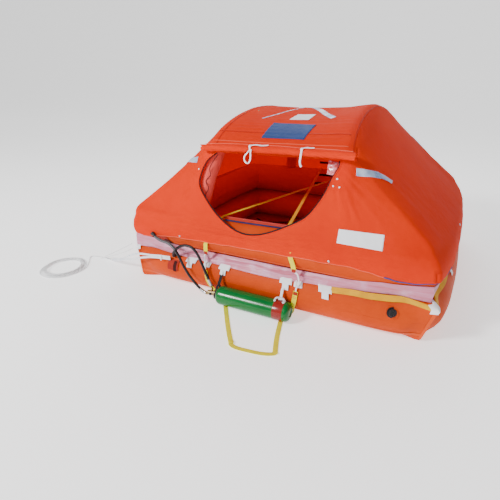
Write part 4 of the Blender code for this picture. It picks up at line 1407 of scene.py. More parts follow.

# %% [markdown]
# The outside is the bright coated cloth. The inner wall has a deeper red, which is painted red light: the
# colour the cabin side takes on in the light that comes through the canopy. The Solidify modifier puts that
# second finish on the inner wall of the same sheet.

# %% Thickness and the painted red inner wall
# Painted red light: the inner wall's deeper red stands for the red light in the cabin.
inner_red_light_cloth = coated_cloth("inner_red_light_cloth", (0.86, 0.105, 0.090), (0.76, 0.080, 0.070), 0.65, crease=0.15)
let_light_through(inner_red_light_cloth, (0.98, 0.13, 0.11), 0.78)
canopy_tree = BVHTree.FromBMesh(canopy_mesh)
canopy = finish_piece(
    "canopy", canopy_mesh, canopy_cloth, "canopy_fabric", sharp=70,
    replaced=(
        "canopy_front", "canopy_back", "canopy_left_end", "canopy_right_end", "canopy_roof", "canopy_skirt"
    ),
)
canopy.data.materials.append(inner_red_light_cloth.material)
thicken(canopy, 0.0022, offset=-1.0)
canopy.modifiers["thickness"].material_offset = 1
canopy.modifiers["thickness"].material_offset_rim = 0

# %% [markdown]
# ## The door
#
# The door's edge is turned over a thin cord and stitched, and half of a black zip runs just
# inside it. On the left the zip has come away from the edge and hangs in slow waves. The tape
# is set a few millimetres behind the edge, where it would be sewn.

# %% Hem, zip tape and loose zip
DOOR_DEPTH = Vector((0, 1, 0))


def rim_spot(share, inset=0.0, behind=0.0):
    """A place along the door's edge, moved towards the door's middle and into the cabin."""
    fine = share * (len(door_curve) - 1)
    i = min(int(fine), len(door_curve) - 2)
    flat = door_curve[i].lerp(door_curve[i + 1], fine - i)
    middle = Vector((DOOR_MIDDLE[0], 0, DOOR_MIDDLE[1]))
    flat = flat + (middle - flat).normalized() * inset
    down = share_at_height(flat.z)
    spot = wall_point(plain_x(flat.x, flat.z), down, False)
    return spot + DOOR_DEPTH * behind


def build_door_edge():
    hem = [rim_spot(i / 260, -0.001) for i in range(261)]
    round_cord("door_hem", hem, 0.0042, canopy_cloth, "canopy_fabric", sides=10)
    tape = [rim_spot(i / 260, 0.0060, 0.004) for i in range(261)]
    middle = Vector((DOOR_MIDDLE[0], -0.9, DOOR_MIDDLE[1]))
    across = [(middle - spot).normalized() for spot in tape]
    ribbon("zip_tape", tape, 0.0080, 0.0014, across, black_webbing, "black_rubber")
    teeth = [rim_spot(i / 900, 0.0098, 0.0040) for i in range(901)]
    round_cord(
        "zip_teeth", teeth, 0.0022, black_rubber, "black_rubber", sides=6,
        profile=lambda s: 0.75 + 0.45 * (round(s * 900) % 2),
    )
    loose = [
        (-0.398, -0.826, 1.050), (-0.448, -0.840, 0.985), (-0.462, -0.852, 0.945), (-0.452, -0.862, 0.905),
        (-0.484, -0.878, 0.862), (-0.458, -0.890, 0.815), (-0.478, -0.905, 0.772), (-0.468, -0.925, 0.742),
    ]
    round_cord(
        "zip_loose", evenly(loose, 420), 0.0024, black_rubber, "black_rubber", sides=6,
        profile=lambda s: 0.8 + 0.35 * (round(s * 419) % 2),
    )


build_door_edge()

# %% [markdown]
# The door itself is a panel of the same cloth, rolled up and tied above the opening. It is
# built as what it is: one sheet wound on itself three times, whose last turn leads
# back to the seam at the top of the door. Its cut end shows the spiral, the other end is soft.

# %% The rolled door
ROLL_LEFT, ROLL_RIGHT, ROLL_Y, ROLL_Z, ROLL_DROOP = -0.515, 0.588, -0.845, 1.108, 0.008
ROLL_RADIUS, ROLL_TURNS, ROLL_GAP = 0.0280, 3.0, 0.0070


def roll_axis(x):
    """The middle of the roll at this x; it sags between the ties and at both ends."""
    share = (x - ROLL_LEFT) / (ROLL_RIGHT - ROLL_LEFT)
    sag = ROLL_DROOP * (2 * share - 1) ** 2
    return Vector((x, ROLL_Y, ROLL_Z - sag + 0.0016 * math.sin(x * 17)))


def roll_wave(x, angle):
    """How much thicker or thinner the soft roll is here; the ties pinch it."""
    pinch = sum(math.exp(-(((x - tie) / 0.022) ** 2)) for tie in (-0.122, 0.250))
    lump = 0.0016 * noise.noise(Vector((x * 9, math.cos(angle), math.sin(angle))))
    fold = 0.0009 * math.sin(7 * angle + x * 22) * (0.4 + noise.noise(Vector((x * 4, 2.0, 1.0))))
    left = max(0.0, 1 - (x - ROLL_LEFT) / 0.16)
    return lump + fold - 0.0042 * pinch - 0.004 * left**2


def build_door_roll():
    across, around, flap = 150, 150, 14
    sheet = flat_grid(across, around + flap, ROLL_RIGHT - ROLL_LEFT, 0.60)
    last_angle = math.radians(28)

    def place(u, v):
        x = ROLL_LEFT + (ROLL_RIGHT - ROLL_LEFT) * u
        row = v * (around + flap)
        turn = min(row, around) / around
        angle = last_angle - (1 - turn) * ROLL_TURNS * 2 * math.pi
        radius = ROLL_RADIUS - ROLL_GAP * (1 - turn) * ROLL_TURNS
        grown = max(radius + roll_wave(x, angle) * turn, 0.004)
        spot = roll_axis(x) + Vector((0, math.cos(angle) * grown, math.sin(angle) * grown * 0.97))
        if row > around:
            share = (row - around) / flap
            seam = Vector((spot.x, -0.797 - 0.002, roll_axis(x).z + 0.004))
            spot = spot.lerp(seam, share) + Vector((0, 0, 0.004 * math.sin(math.pi * share)))
        tidy = max(0.0, 1 - (x - ROLL_LEFT) / 0.05)
        spot.x += 0.012 * tidy * math.sin(angle * 1.7) + 0.003 * math.sin(angle * 3)
        return spot

    bend(sheet, place, merge=False)
    roll = finish_piece(
        "door_roll_cloth", sheet, canopy_cloth, "canopy_fabric", replaced=("door_roll",), sharp=70
    )
    thicken(roll, 0.0020)
    lip = []
    for i in range(120):
        x = ROLL_LEFT + 0.03 + (ROLL_RIGHT - ROLL_LEFT - 0.05) * i / 119
        angle = math.radians(97 + 5 * math.sin(x * 6) + 3 * math.sin(x * 15))
        grown = ROLL_RADIUS + roll_wave(x, angle) + 0.0022
        lip.append(roll_axis(x) + Vector((0, math.cos(angle) * grown, math.sin(angle) * grown * 0.97)))
    ribbon("door_roll_seam", lip, 0.009, 0.0022, (0, 1, 0), seam_pale, "canopy_fabric")
    return roll


seam_pale = coated_cloth("seam_pale", (0.94, 0.14, 0.07), (0.88, 0.09, 0.04), 0.55, crease=0.1)
door_roll_cloth = build_door_roll()

# %% [markdown]
# Two white tapes hold the roll. The left one is knotted into a hanging loop, the right one
# hangs straight with its end turned forward. Both leave a tail lying along the top of the roll.


# %% Door ties
def around_roll(x, angles, lift=0.0024):
    """Places on the roll's face, from one angle to another; 90 is its top, 180 its front."""
    out = []
    for degree in angles:
        turn = math.radians(degree)
        grown = ROLL_RADIUS + roll_wave(x, turn) + lift
        out.append(roll_axis(x) + Vector((0, math.cos(turn) * grown, math.sin(turn) * grown * 0.97)))
    return out


def build_door_ties():
    width, thick = 0.0125, 0.0022
    left = around_roll(-0.117, (60, 90, 120, 150, 178))
    left += [
        (-0.130, -0.880, 1.088), (-0.152, -0.884, 1.060), (-0.147, -0.887, 1.032), (-0.128, -0.889, 1.019)
    ]
    left += [
        (-0.109, -0.888, 1.036), (-0.105, -0.884, 1.064), (-0.106, -0.880, 1.092), (-0.102, -0.879, 1.112)
    ]
    right = around_roll(0.250, (60, 90, 120, 150, 180))
    right += [
        (0.248, -0.879, 1.080), (0.246, -0.881, 1.056), (0.250, -0.884, 1.034), (0.259, -0.889, 1.023)
    ]
    tails = {
        "left": [
            (-0.114, -0.866, 1.134), (-0.074, -0.858, 1.1385), (-0.029, -0.862, 1.1365),
            (0.016, -0.856, 1.1395)
        ],
        "right": [
            (0.253, -0.866, 1.134), (0.280, -0.858, 1.1385), (0.306, -0.860, 1.1380),
            (0.330, -0.856, 1.1390)
        ],
    }
    for name, route, side in (("left", left, (0.93, -0.3, 0.2)), ("right", right, (1, 0, 0))):
        points = evenly(route, 90)
        strap(
            "door_tie_%s_tape" % name, points, width, thick, side, white_webbing, "white_webbing",
            "hung", "door_roll_cloth", replaced=("door_tie_" + name,),
        )
        tail = evenly(tails[name], 30)
        ribbon("door_tie_%s_tail" % name, tail, width, thick, (0, 0.9, 0.3), white_webbing, "white_webbing")
        knot = around_roll(route[0].x, (106, 122, 140), 0.0052)
        ribbon(
            "door_tie_%s_knot" % name, evenly(knot, 12), 0.017, 0.006, (1, 0, 0), white_webbing,
            "white_webbing"
        )


build_door_ties()

# %% [markdown]
# ## Inside the cabin
#
# Everything inside is lit through the red canopy. The two arches are round air tubes with a welded seam on
# their inner side, and they stand on the upper tube. Their cloth is painted the deep red of the canopy's
# inner wall: painted red light, the colour they take on behind the orange.

# %% Arch tubes
ARCH_RADIUS = 0.0545
# Painted red light: the arches' deep red stands for the light they get behind the orange canopy.
arch_red_light_cloth = coated_cloth("arch_red_light_cloth", (0.84, 0.095, 0.075), (0.74, 0.074, 0.058), 0.62, crease=0.12)


def arch_route(side):
    """The middle line of an arch: the canopy's outline, moved in by the tube's own size."""
    outline = [wall_line(1 - i / 12) for i in range(12)] + [roof_line(i / 40) for i in range(41)]
    outline += [Vector((0, -p.y, p.z)) for p in reversed(outline[:12])]
    inner = []
    for i in range(1, len(outline) - 1):
        way = (outline[i + 1] - outline[i - 1]).normalized()
        spot = outline[i] + Vector((0, way.z, -way.y)) * 0.0815
        if spot.z > 0.63:
            inner.append(spot)
    feet = [Vector((0, inner[0].y - 0.004, z)) for z in (0.6025, 0.612)]
    route = feet + inner + [Vector((0, -foot.y, foot.z)) for foot in reversed(feet)]
    return evenly([Vector((side * (ARCH_X - lean(side, p.z)), p.y, p.z)) for p in route], 170)


def arch_pucker(share):
    """Shallow rings where the tube bends at its two knees."""
    near = math.exp(-(((share - 0.235) / 0.035) ** 2)) + math.exp(-(((share - 0.765) / 0.035) ** 2))
    return 1.0 - 0.018 * near * (0.5 + 0.5 * math.sin(share * 520))


for arch_name, arch_side in (("left", -1), ("right", 1)):
    route = arch_route(arch_side)
    round_cord(
        "arch_skin_" + arch_name, route, ARCH_RADIUS, arch_red_light_cloth, "tube_fabric", sides=36,
        profile=arch_pucker, replaced=("arch_tube_" + arch_name,),
    )
    seam = [p - Vector((arch_side * (ARCH_RADIUS + 0.0004), 0, 0)) for p in route[3:-3]]
    ribbon("arch_seam_" + arch_name, seam, 0.022, 0.0016, (0, 1, 0.3), arch_red_light_cloth, "tube_fabric")

# %% [markdown]
# The floor is one loose sheet under both tubes. It is not pulled tight, so it lies in low
# wrinkles that run from the middle to the sides. Its border goes a little way under the tube.


# %% Floor sheet
def build_floor_sheet():
    wide, deep = 1.010, 0.862
    sheet = flat_grid(150, 126, 2 * wide, 2 * deep)

    def place(u, v):
        x, y = wide * (2 * u - 1), deep * (2 * v - 1)
        turn = math.atan2(y, x)
        edge = max(abs(x) / wide, abs(y) / deep)
        height = 0.0058 * noise.noise(Vector((x * 4, y * 4, 0.4)))
        drift = 3 * noise.noise(Vector((x * 2, y * 2, 1)))
        height += 0.0026 * math.sin(turn * 22 + drift) * min(1.0, edge * 1.4)
        height += 0.0020 * noise.noise(Vector((x * 17, y * 17, 2.5)))
        return Vector((x, y, max(0.0115 + height * min(1.0, (1.02 - edge) * 9), 0.0035)))

    bend(sheet, place)
    obj = finish_piece(
        "raft_floor_sheet", sheet, floor_cloth, "floor_fabric", replaced=("raft_floor",), sharp=60
    )
    return thicken(obj, 0.0012)


build_floor_sheet()

# %% [markdown]
# Two yellow straps cross the cabin from tube to tube and hold the sides together. They are pulled tight, each
# bends down a little at both ends, and each has a slight twist.

# %% Cross straps and the small things inside
CROSS = {
    "long": ((-0.355, -0.855), (0.20, 0.855), 0.606, yellow_webbing),
    "short": ((0.17, -0.855), (-0.18, 0.855), 0.612, amber_webbing),
}


def build_cross_straps():
    for name, (start, end, z, finish) in CROSS.items():
        a, b = Vector((*start, z)), Vector((*end, z))
        way = (b - a).normalized()
        down = Vector((0, 0, -0.010))
        route = [a - way * 0.055 + down * 1.4, a - way * 0.02 + down * 0.3, a + way * 0.02]
        route += [a.lerp(b, i / 8) for i in range(1, 8)]
        route += [b - way * 0.02, b + way * 0.02 + down * 0.3, b + way * 0.055 + down * 1.4]
        points = evenly(route, 110)
        flat_way = Vector((way.y, -way.x, 0))
        side = []
        for i in range(110):
            roll = 0.16 * math.sin(i / 109 * math.pi) * (1 if name == "short" else -0.5)
            side.append((flat_way * math.cos(roll) + Vector((0, 0, 1)) * math.sin(roll)).normalized())
        strap(
            "cross_strap_%s_webbing" % name, points, 0.025, 0.0024, side, finish, "yellow_webbing",
            "stretched", "raft_skin_upper", replaced=("cross_strap_" + name,),
        )


build_cross_straps()

INSIDE_STRAPS = {
    "floor_strap": [(-0.86, 0.62, 0.020), (-0.74, 0.56, 0.016), (-0.60, 0.60, 0.018), (-0.46, 0.66, 0.020)],
    "floor_strap_end": [
        (-0.42, 0.62, 0.022), (-0.36, 0.68, 0.040), (-0.33, 0.60, 0.026), (-0.27, 0.66, 0.034)
    ],
    "wall_strap_high": [(-0.235, 0.958, 0.650), (-0.160, 0.958, 0.652), (-0.085, 0.960, 0.650)],
    "wall_strap_low": [(-0.190, 0.770, 0.560), (-0.100, 0.772, 0.562), (0.020, 0.774, 0.560)],
    "tube_strap_small": [(-0.222, 0.722, 0.478), (-0.180, 0.7235, 0.480), (-0.130, 0.722, 0.486)],
}


def build_inside_straps():
    for name, route in INSIDE_STRAPS.items():
        side, held, under = (0, 0.2, 1), "hung", "raft_skin_upper"
        if "floor" in name:
            side, held, under = (0, 1, 0.05), "laid", "raft_floor_sheet"
        strap(name, evenly(route, 36), 0.022, 0.0024, side, black_webbing, "black_rubber", held, under)
    for name, finish, angle, width, start, end in (
        ("tube_edge_strap", tube_cloth, 96, 0.030, -0.44, 0.34),
        ("tube_navy_strap", navy_webbing, 76, 0.018, -0.36, 0.30),
        # The thin black band just past the top of the tube is painted shadow, where the tube curves away into
        # the cabin; it is no strap.
        ("tube_edge_shadow_line", black_webbing, 108, 0.006, -0.44, 0.34),
    ):
        points = []
        for i in range(60):
            along = start + (end - start) * i / 59
            points.append(on_tube(UPPER, 0, along, angle + 1.5 * math.sin(along * 6), 0.0022))
        side = [(on_tube(UPPER, 0, 0, angle + 2) - on_tube(UPPER, 0, 0, angle)).normalized()] * 60
        ribbon(name, points, width, 0.0020, side, finish, "tube_fabric")


build_inside_straps()


def pocket_film():
    """The clear plastic of the pocket that holds the raft's papers: pale pink on its raised folds, which is
    painted reflection, and deep red between them for the cabin seen through it.
    """
    made = Finish("pocket_film", 0.25, coat_weight=0.3)
    place = made.place()
    fold = made.noise(place, 40.0, 4.0, 0.6)
    # Painted reflection: the raised folds turn pale pink; the deep red between them stands for the cabin
    # behind the clear film.
    made.set("Base Color", made.mix(made.ramp(fold, 0.4, 0.65), (0.60, 0.06, 0.06), (0.86, 0.38, 0.46)))
    made.set("Normal", made.bump(fold, 0.4, 0.004))
    return made


def build_pocket():
    """A clear pocket that hangs behind the door's upper right corner."""
    sheet = flat_grid(18, 18, 0.085, 0.085)

    def place(u, v):
        x = 0.398 + 0.083 * u
        bulge = 0.010 * math.sin(math.pi * u) * math.sin(math.pi * v)
        bulge += 0.003 * noise.noise(Vector((u * 5, v * 5, 1)))
        return Vector((x, -0.800 - 0.030 * v + 0.030 - bulge, 1.052 - 0.083 * v - 0.010 * u))

    bend(sheet, place)
    obj = finish_piece("paper_pocket", sheet, pocket_film(), "band_fabric", sharp=60)
    thicken(obj, 0.0015)


build_pocket()

# %% [markdown]
# ## Webbing and patches on the tubes
#
# A webbing grab line runs along the lower tube, from the right of the door round the back to
# the front left corner. White patches shaped like a T are glued over it: a wide bar holds the
# webbing and a narrow stem spreads the pull. Between two patches the webbing stands off a little.

# %% The grab line
GRAB_STOPS = {
    0: [-0.60, -0.29, 0.22, 0.507, 1.12], 1: [-1.0, -0.42, 0.42, 1.0], 2: [-1.1, -0.55, 0.0, 0.55, 1.1],
    3: [-1.0, -0.42, 0.42, 1.0]
}
GRAB_ANGLES = {
    0: [(0.50, 42), (0.75, 49), (0.92, 51), (1.08, 56), (1.20, 56)],
    1: [(-1.05, 56), (-0.42, 56), (0.0, 47), (0.5, 43), (1.05, 44)],
}


def stand_off(side, along):
    """How far the webbing bellies out from the tube between the patches that hold it."""
    stops = GRAB_STOPS[side]
    for a, b in zip(stops, stops[1:]):
        if a <= along <= b:
            return 0.0035 + 0.0040 * math.sin(math.pi * (along - a) / (b - a)) ** 2
    return 0.0035


GRAB_WIDTH, GRAB_THICK, GRAB_WAVER = 0.040, 0.0026, 1.2


def grab_webbing(name, stations):
    """The grab line along stations of (side, along) on the lower tube."""
    spots = [(-0.5, 0.0), (-0.47, 1.0), (0.0, 1.25), (0.47, 1.0), (0.5, 0.0)]
    rows = len(spots) + 1
    half = math.degrees(GRAB_WIDTH / LOWER_RADIUS)
    middles = [on_tube(LOWER, side, along, grab_angle(side, along)) for side, along in stations]
    sheet = flat_grid(len(stations) - 1, rows, length_of(middles), 1.0)
    layer = sheet.loops.layers.uv.active
    for face in sheet.faces:
        for loop in face.loops:
            row = round(loop.vert.co.y * rows) % rows
            loop[layer].uv.y = spots[row][0] + 0.5 if row < len(spots) else 0.5

    def place(u, v):
        side, along = stations[round(u * (len(stations) - 1))]
        row = round(v * rows) % rows
        step, rise = spots[row] if row < len(spots) else (0.0, 0.0)
        angle = grab_angle(side, along) + step * half + GRAB_WAVER * math.sin(along * 14 + side)
        return on_tube(LOWER, side, along, angle, stand_off(side, along) + rise * GRAB_THICK)

    bend(sheet, place)
    close_ends(sheet)
    obj = finish_piece(name, sheet, amber_webbing, "yellow_webbing", sharp=50)
    round(length_of(middles), 3)
    return obj


def side_stations(side, start, end, count):
    return [(side, start + (end - start) * i / (count - 1)) for i in range(count)]


def grab_angle(side, along):
    return marked(GRAB_ANGLES[side], along) if side in GRAB_ANGLES else 43.0


round_stations = [(0, 1.197)] + side_stations(1, -1.045, 1.045, 170) + side_stations(2, -1.195, 1.195, 190)
round_stations += side_stations(3, -1.045, 1.045, 170) + [(0, -1.195)]
grab_webbing("grab_line_front", side_stations(0, 0.50, 1.195, 70))
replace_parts(grab_webbing("grab_line_round", round_stations), "grab_line")


# %% T-shaped patches
T_WIDE, T_TALL, T_STEM, T_BAR_FOOT = 0.094, 0.090, 0.050, 0.44


def t_patch(name, side, along, node, angle):
    """A patch cut as a T and glued on the tube, a little raised over the webbing."""
    sheet = flat_grid(20, 20, T_WIDE, T_TALL)
    gone = []
    for face in sheet.faces:
        middle = face.calc_center_median()
        if middle.y < T_BAR_FOOT and abs(middle.x - 0.5) > T_STEM / T_WIDE / 2:
            gone.append(face)
    bmesh.ops.delete(sheet, geom=gone, context="FACES")
    span = math.degrees(T_TALL / LOWER_RADIUS)
    seed = along * 7 + side * 3

    def place(u, v):
        x, y = u - 0.5, v - 0.5
        border = 0.008 * noise.noise(Vector((u * 6 + seed, v * 6, 1.0)))
        edge = min(0.5 - abs(x), 0.5 - abs(y)) / 0.12
        lift = 0.0058 + 0.0022 * min(max(edge, 0.0), 1.0) + 0.0012 * noise.noise(Vector((u * 5, v * 5, seed)))
        if v < T_BAR_FOOT:
            lift -= 0.0035 * (T_BAR_FOOT - v) / T_BAR_FOOT
        return on_tube(LOWER, side, along + (x + border) * T_WIDE, angle + (y + border) * span, lift)

    bend(sheet, place, merge=False)
    obj = finish_piece(name, sheet, white_cloth, "white_webbing", replaced=(node,), sharp=60)
    return thicken(obj, 0.0016)


T_PATCHES = [
    ("front_1", 0, -0.60), ("front_2", 0, -0.29), ("front_3", 0, 0.22), ("front_4", 0, 0.507),
    ("right_1", 1, -0.42), ("right_2", 1, 0.42), ("back_1", 2, -0.55), ("back_2", 2, 0.0),
    ("back_3", 2, 0.55), ("left_1", 3, -0.42), ("left_2", 3, 0.42),
]
for patch_name, patch_side, patch_along in T_PATCHES:
    patch_angle = 50.0 if patch_name == "right_1" else (38.0 if patch_side else 35.0)
    t_patch("t_patch_" + patch_name, patch_side, patch_along, "patch_" + patch_name, patch_angle)


def corner_patch(name, corner, angle):
    """A small square folded over a corner seam, where the webbing turns."""
    sheet = flat_grid(16, 12, 0.080, 0.070)
    span = math.degrees(0.072 / LOWER_RADIUS)

    def place(u, v):
        side, along = across_corner(corner, 0.084 * (u - 0.5))
        lift = 0.0078 + 0.0014 * noise.noise(Vector((u * 5, v * 5, corner)))
        return on_tube(LOWER, side, along, angle + span * (v - 0.5) + 10 * (u - 0.5), lift)

    bend(sheet, place)
    soften(sheet, sheet.verts)
    obj = finish_piece(
        name, sheet, white_cloth, "white_webbing", replaced=("patch_corner_" + name[13:],), sharp=60
    )
    return thicken(obj, 0.0016)


for patch_corner, patch_place in enumerate(("front_left", "front_right", "back_right", "back_left")):
    corner_patch("corner_patch_" + patch_place, patch_corner, (46, 54, 44, 44)[patch_corner])

# %% [markdown]
# ## The boarding ladder
#
# Two yellow straps come out from under the canopy's hem. Each ends in a stitched red keeper and
# goes on as a narrow white tie over a small patch. Below it the wide webbing hangs behind the
# gas bottle, reaches the floor and lies there, and one rung joins both ends.

# %% Ladder
LADDER = {
    "left": (-0.43, -0.45, [
        (-0.44, -1.048, 0.215), (-0.41, -1.056, 0.12), (-0.34, -1.05, 0.035), (-0.27, -1.07, 0.0045),
        (-0.23, -1.12, 0.0026), (-0.16, -1.22, 0.0026), (-0.06, -1.36, 0.0026), (0.034, -1.483, 0.0026)]),
    "right": (0.255, 0.313, [
        (0.300, -1.048, 0.215), (0.292, -1.0545, 0.155), (0.286, -1.0528, 0.12), (0.270, -1.034, 0.072),
        (0.262, -1.028, 0.035), (0.235, -1.06, 0.0045), (0.225, -1.12, 0.0026), (0.245, -1.20, 0.0026),
        (0.285, -1.33, 0.0026), (0.333, -1.457, 0.0026)]),
}


def build_ladder():
    ends = []
    for name, (tab_x, patch_x, route) in LADDER.items():
        drift = 0.020 if name == "right" else -0.004
        top = 0.458 if name == "right" else 0.438
        tab = evenly([
            (tab_x - drift, -1.0222, top + 0.022), (tab_x - drift * 0.6, -1.0224, top),
            (tab_x, -1.0272, 0.430), (tab_x + drift * 0.6, -1.0290, 0.400),
            (tab_x + drift, -1.0280, 0.360),
        ], 30)
        strap(
            "ladder_tab_%s_webbing" % name, tab, 0.034, 0.0028, (1, 0, 0.25), yellow_webbing,
            "yellow_webbing", "hung", "raft_skin_upper", replaced=("ladder_tab_" + name,),
        )
        foot = tab[-1]
        keeper = [foot + Vector((0, 0, z)) for z in (0.008, -0.004, -0.016)]
        ribbon(
            "ladder_keeper_high_" + name, evenly(keeper, 8), 0.028, 0.0062, (1, 0, 0), red_cloth, "red_band"
        )
        start = Vector(route[0])
        tie = evenly([
            foot + Vector((0, 0, -0.010)), foot.lerp(Vector((patch_x, -1.031, 0.325)), 0.75),
            (patch_x, -1.0285, 0.285), (patch_x, -1.0300, 0.262), (start.x, -1.0445, 0.234),
            start + Vector((0, 0, -0.004)),
        ], 40)
        strap(
            "ladder_tie_%s_tape" % name, tie, 0.011, 0.0026, (1, 0, 0), white_webbing, "white_webbing",
            "hung", "raft_skin_lower", replaced=("ladder_tie_" + name,),
        )
        points = evenly(route, 120)
        strap(
            "ladder_strap_%s_webbing" % name, points, 0.034, 0.0030, (1, 0, 0), yellow_webbing,
            "yellow_webbing", "hung", "raft_skin_lower", replaced=("ladder_strap_" + name,),
        )
        ribbon("ladder_keeper_low_" + name, points[1:6], 0.030, 0.0070, (1, 0, 0), red_cloth, "red_band")
        for i in range(2):
            box_at = points[7 + 2 * i : 9 + 2 * i]
            ribbon(
                "ladder_stitch_%s_%d" % (name, i + 1), box_at, 0.028, 0.0042, (1, 0, 0), amber_webbing,
                "yellow_webbing"
            )
        small_patch(name, patch_x)
        ends.append(points[-1])
    build_rung(*ends)


def small_patch(name, x):
    """The patch behind a tie: a rounded square with a second, smaller one on it."""
    sheet = flat_grid(12, 10, 0.062, 0.050)
    span = math.degrees(0.050 / LOWER_RADIUS)

    def place(u, v):
        round_off = 0.10 * (2 * u - 1) ** 2
        lift = 0.0022 + 0.0016 * math.sin(math.pi * u) * math.sin(math.pi * v)
        return on_tube(LOWER, 0, x + 0.062 * (u - 0.5), 40 + span * (v - 0.5) * (1 - round_off), lift)

    bend(sheet, place)
    obj = finish_piece(
        "ladder_pad_" + name, sheet, white_cloth, "white_webbing", replaced=("ladder_patch_" + name,)
    )
    thicken(obj, 0.0018)
    for i, step in enumerate((-0.016, 0.018)):
        bar = [on_tube(LOWER, 0, x + step + 0.0006 * j, 48 - 5 * j, 0.0062) for j in range(4)]
        ribbon(
            "ladder_pad_bar_%s_%d" % (name, i + 1), bar, 0.010, 0.0024, (1, 0, 0), white_webbing,
            "white_webbing"
        )


def build_rung(left, right):
    """The rung: webbing that lies on its side between the two ends, with a knot at the left."""
    middle = left.lerp(right, 0.16) + Vector((0, -0.034, 0))
    route = [
        left + Vector((-0.004, 0.016, 0.0032)), left + Vector((0.008, -0.014, 0.0032)),
        middle + Vector((0, 0, 0.002))
    ]
    route += [
        left.lerp(right, 0.40) + Vector((0, -0.036, 0.001)),
        left.lerp(right, 0.75) + Vector((0, -0.030, 0.001))
    ]
    route += [right + Vector((-0.010, -0.012, 0.0032)), right + Vector((0.004, 0.016, 0.0036))]
    points = [Vector((p.x, max(p.y, -1.5205), max(p.z, 0.0026))) for p in evenly(route, 70)]
    strap(
        "ladder_rung_webbing", points, 0.032, 0.0028, (0.15, 1, 0), yellow_webbing, "yellow_webbing",
        "laid", "ladder_strap_left_webbing", replaced=("ladder_rung",),
    )
    knot_steps = ((-0.012, 0.012, 0.0065), (0.002, -0.002, 0.0085), (0.012, -0.012, 0.0065))
    knot = evenly([left + Vector(step) for step in knot_steps], 10)
    ribbon("ladder_knot", knot, 0.030, 0.0075, (0.7, 0.7, 0), yellow_webbing, "yellow_webbing")


build_ladder()

# %% [markdown]
# ## The gas bottle
#
# A steel bottle under green enamel holds the gas that fills the raft. It is turned about its own
# axis, with rounded shoulders, a foot ring pressed in at the right end and a black collar round
# the neck. It hangs on two short straps from the patches above and swings with them.

# %% Bottle, tape and collar
BOTTLE_LEFT, BOTTLE_RIGHT, BOTTLE_RADIUS = -0.31, 0.29, 0.07
BOTTLE_AXIS = Vector((0, -1.112, 0.0768))


def bottle_profile():
    points = [(BOTTLE_LEFT + 0.004, 0.0), (BOTTLE_LEFT + 0.004, 0.0235), (BOTTLE_LEFT + 0.014, 0.0240)]
    for i in range(1, 15):
        turn = math.radians(90 * i / 14)
        points.append((BOTTLE_LEFT + 0.014 + 0.040 * (1 - math.cos(turn)), 0.024 + 0.046 * math.sin(turn)))
    for i in range(1, 12):
        points.append((BOTTLE_LEFT + 0.054 + (0.600 - 0.054 - 0.031) * i / 12, BOTTLE_RADIUS))
    for i in range(14, -1, -1):
        turn = math.radians(90 * i / 14)
        points.append((BOTTLE_RIGHT - 0.031 * (1 - math.cos(turn)), 0.030 + 0.040 * math.sin(turn)))
    return points + [
        (BOTTLE_RIGHT - 0.0015, 0.0285), (BOTTLE_RIGHT - 0.005, 0.0250), (BOTTLE_RIGHT - 0.006, 0.0)
    ]


def build_bottle():
    hung = {"body": "gas_cylinder"}
    turned(
        "gas_bottle", bottle_profile(), BOTTLE_AXIS, green_enamel, "cylinder_steel", steps=96,
        replaced=("gas_cylinder",), **hung
    )
    inner, outer = BOTTLE_RADIUS + 0.0001, BOTTLE_RADIUS + 0.0018
    tape = [
        (0.176, inner), (0.1765, outer - 0.0003), (0.178, outer), (0.213, outer - 0.0002), (0.248, outer)
    ]
    tape += [(0.2495, outer - 0.0003), (0.250, inner), (0.176, inner)]
    turned(
        "bottle_tape", tape, BOTTLE_AXIS, dark_red_tape, "red_band", steps=96, replaced=("cylinder_band",),
        **hung
    )
    collar = [
        (-0.3105, 0.0235), (-0.3105, 0.0300), (-0.3080, 0.0325), (-0.2990, 0.0330), (-0.2930, 0.0405),
        (-0.2920, 0.0235)
    ]
    turned(
        "bottle_collar", collar + [(-0.3105, 0.0235)], BOTTLE_AXIS, black_rubber, "black_rubber", steps=64,
        **hung
    )


build_bottle()

# %% [markdown]
# The valve head is a brass body with a hexagon nut against the bottle, two ports for the hoses,
# and a black pull knob. Its ports look up along the raft's face, where the hoses come from.


# %% Valve head
def ring_between(name, start, end, radius, finish, slot):
    """A short round part between two points, with small bevels at both ends."""
    start, end = Vector(start), Vector(end)
    shares = (0.0, 0.0001, 0.06, 0.5, 0.94, 0.9999, 1.0)
    scales = (0.82, 0.86, 1.0, 1.0, 1.0, 0.86, 0.82)
    points = [start.lerp(end, share) for share in shares]
    round_cord(
        name, points, radius, finish, slot, sides=24, body="gas_cylinder",
        profile=lambda s: scales[round(s * (len(scales) - 1))],
    )


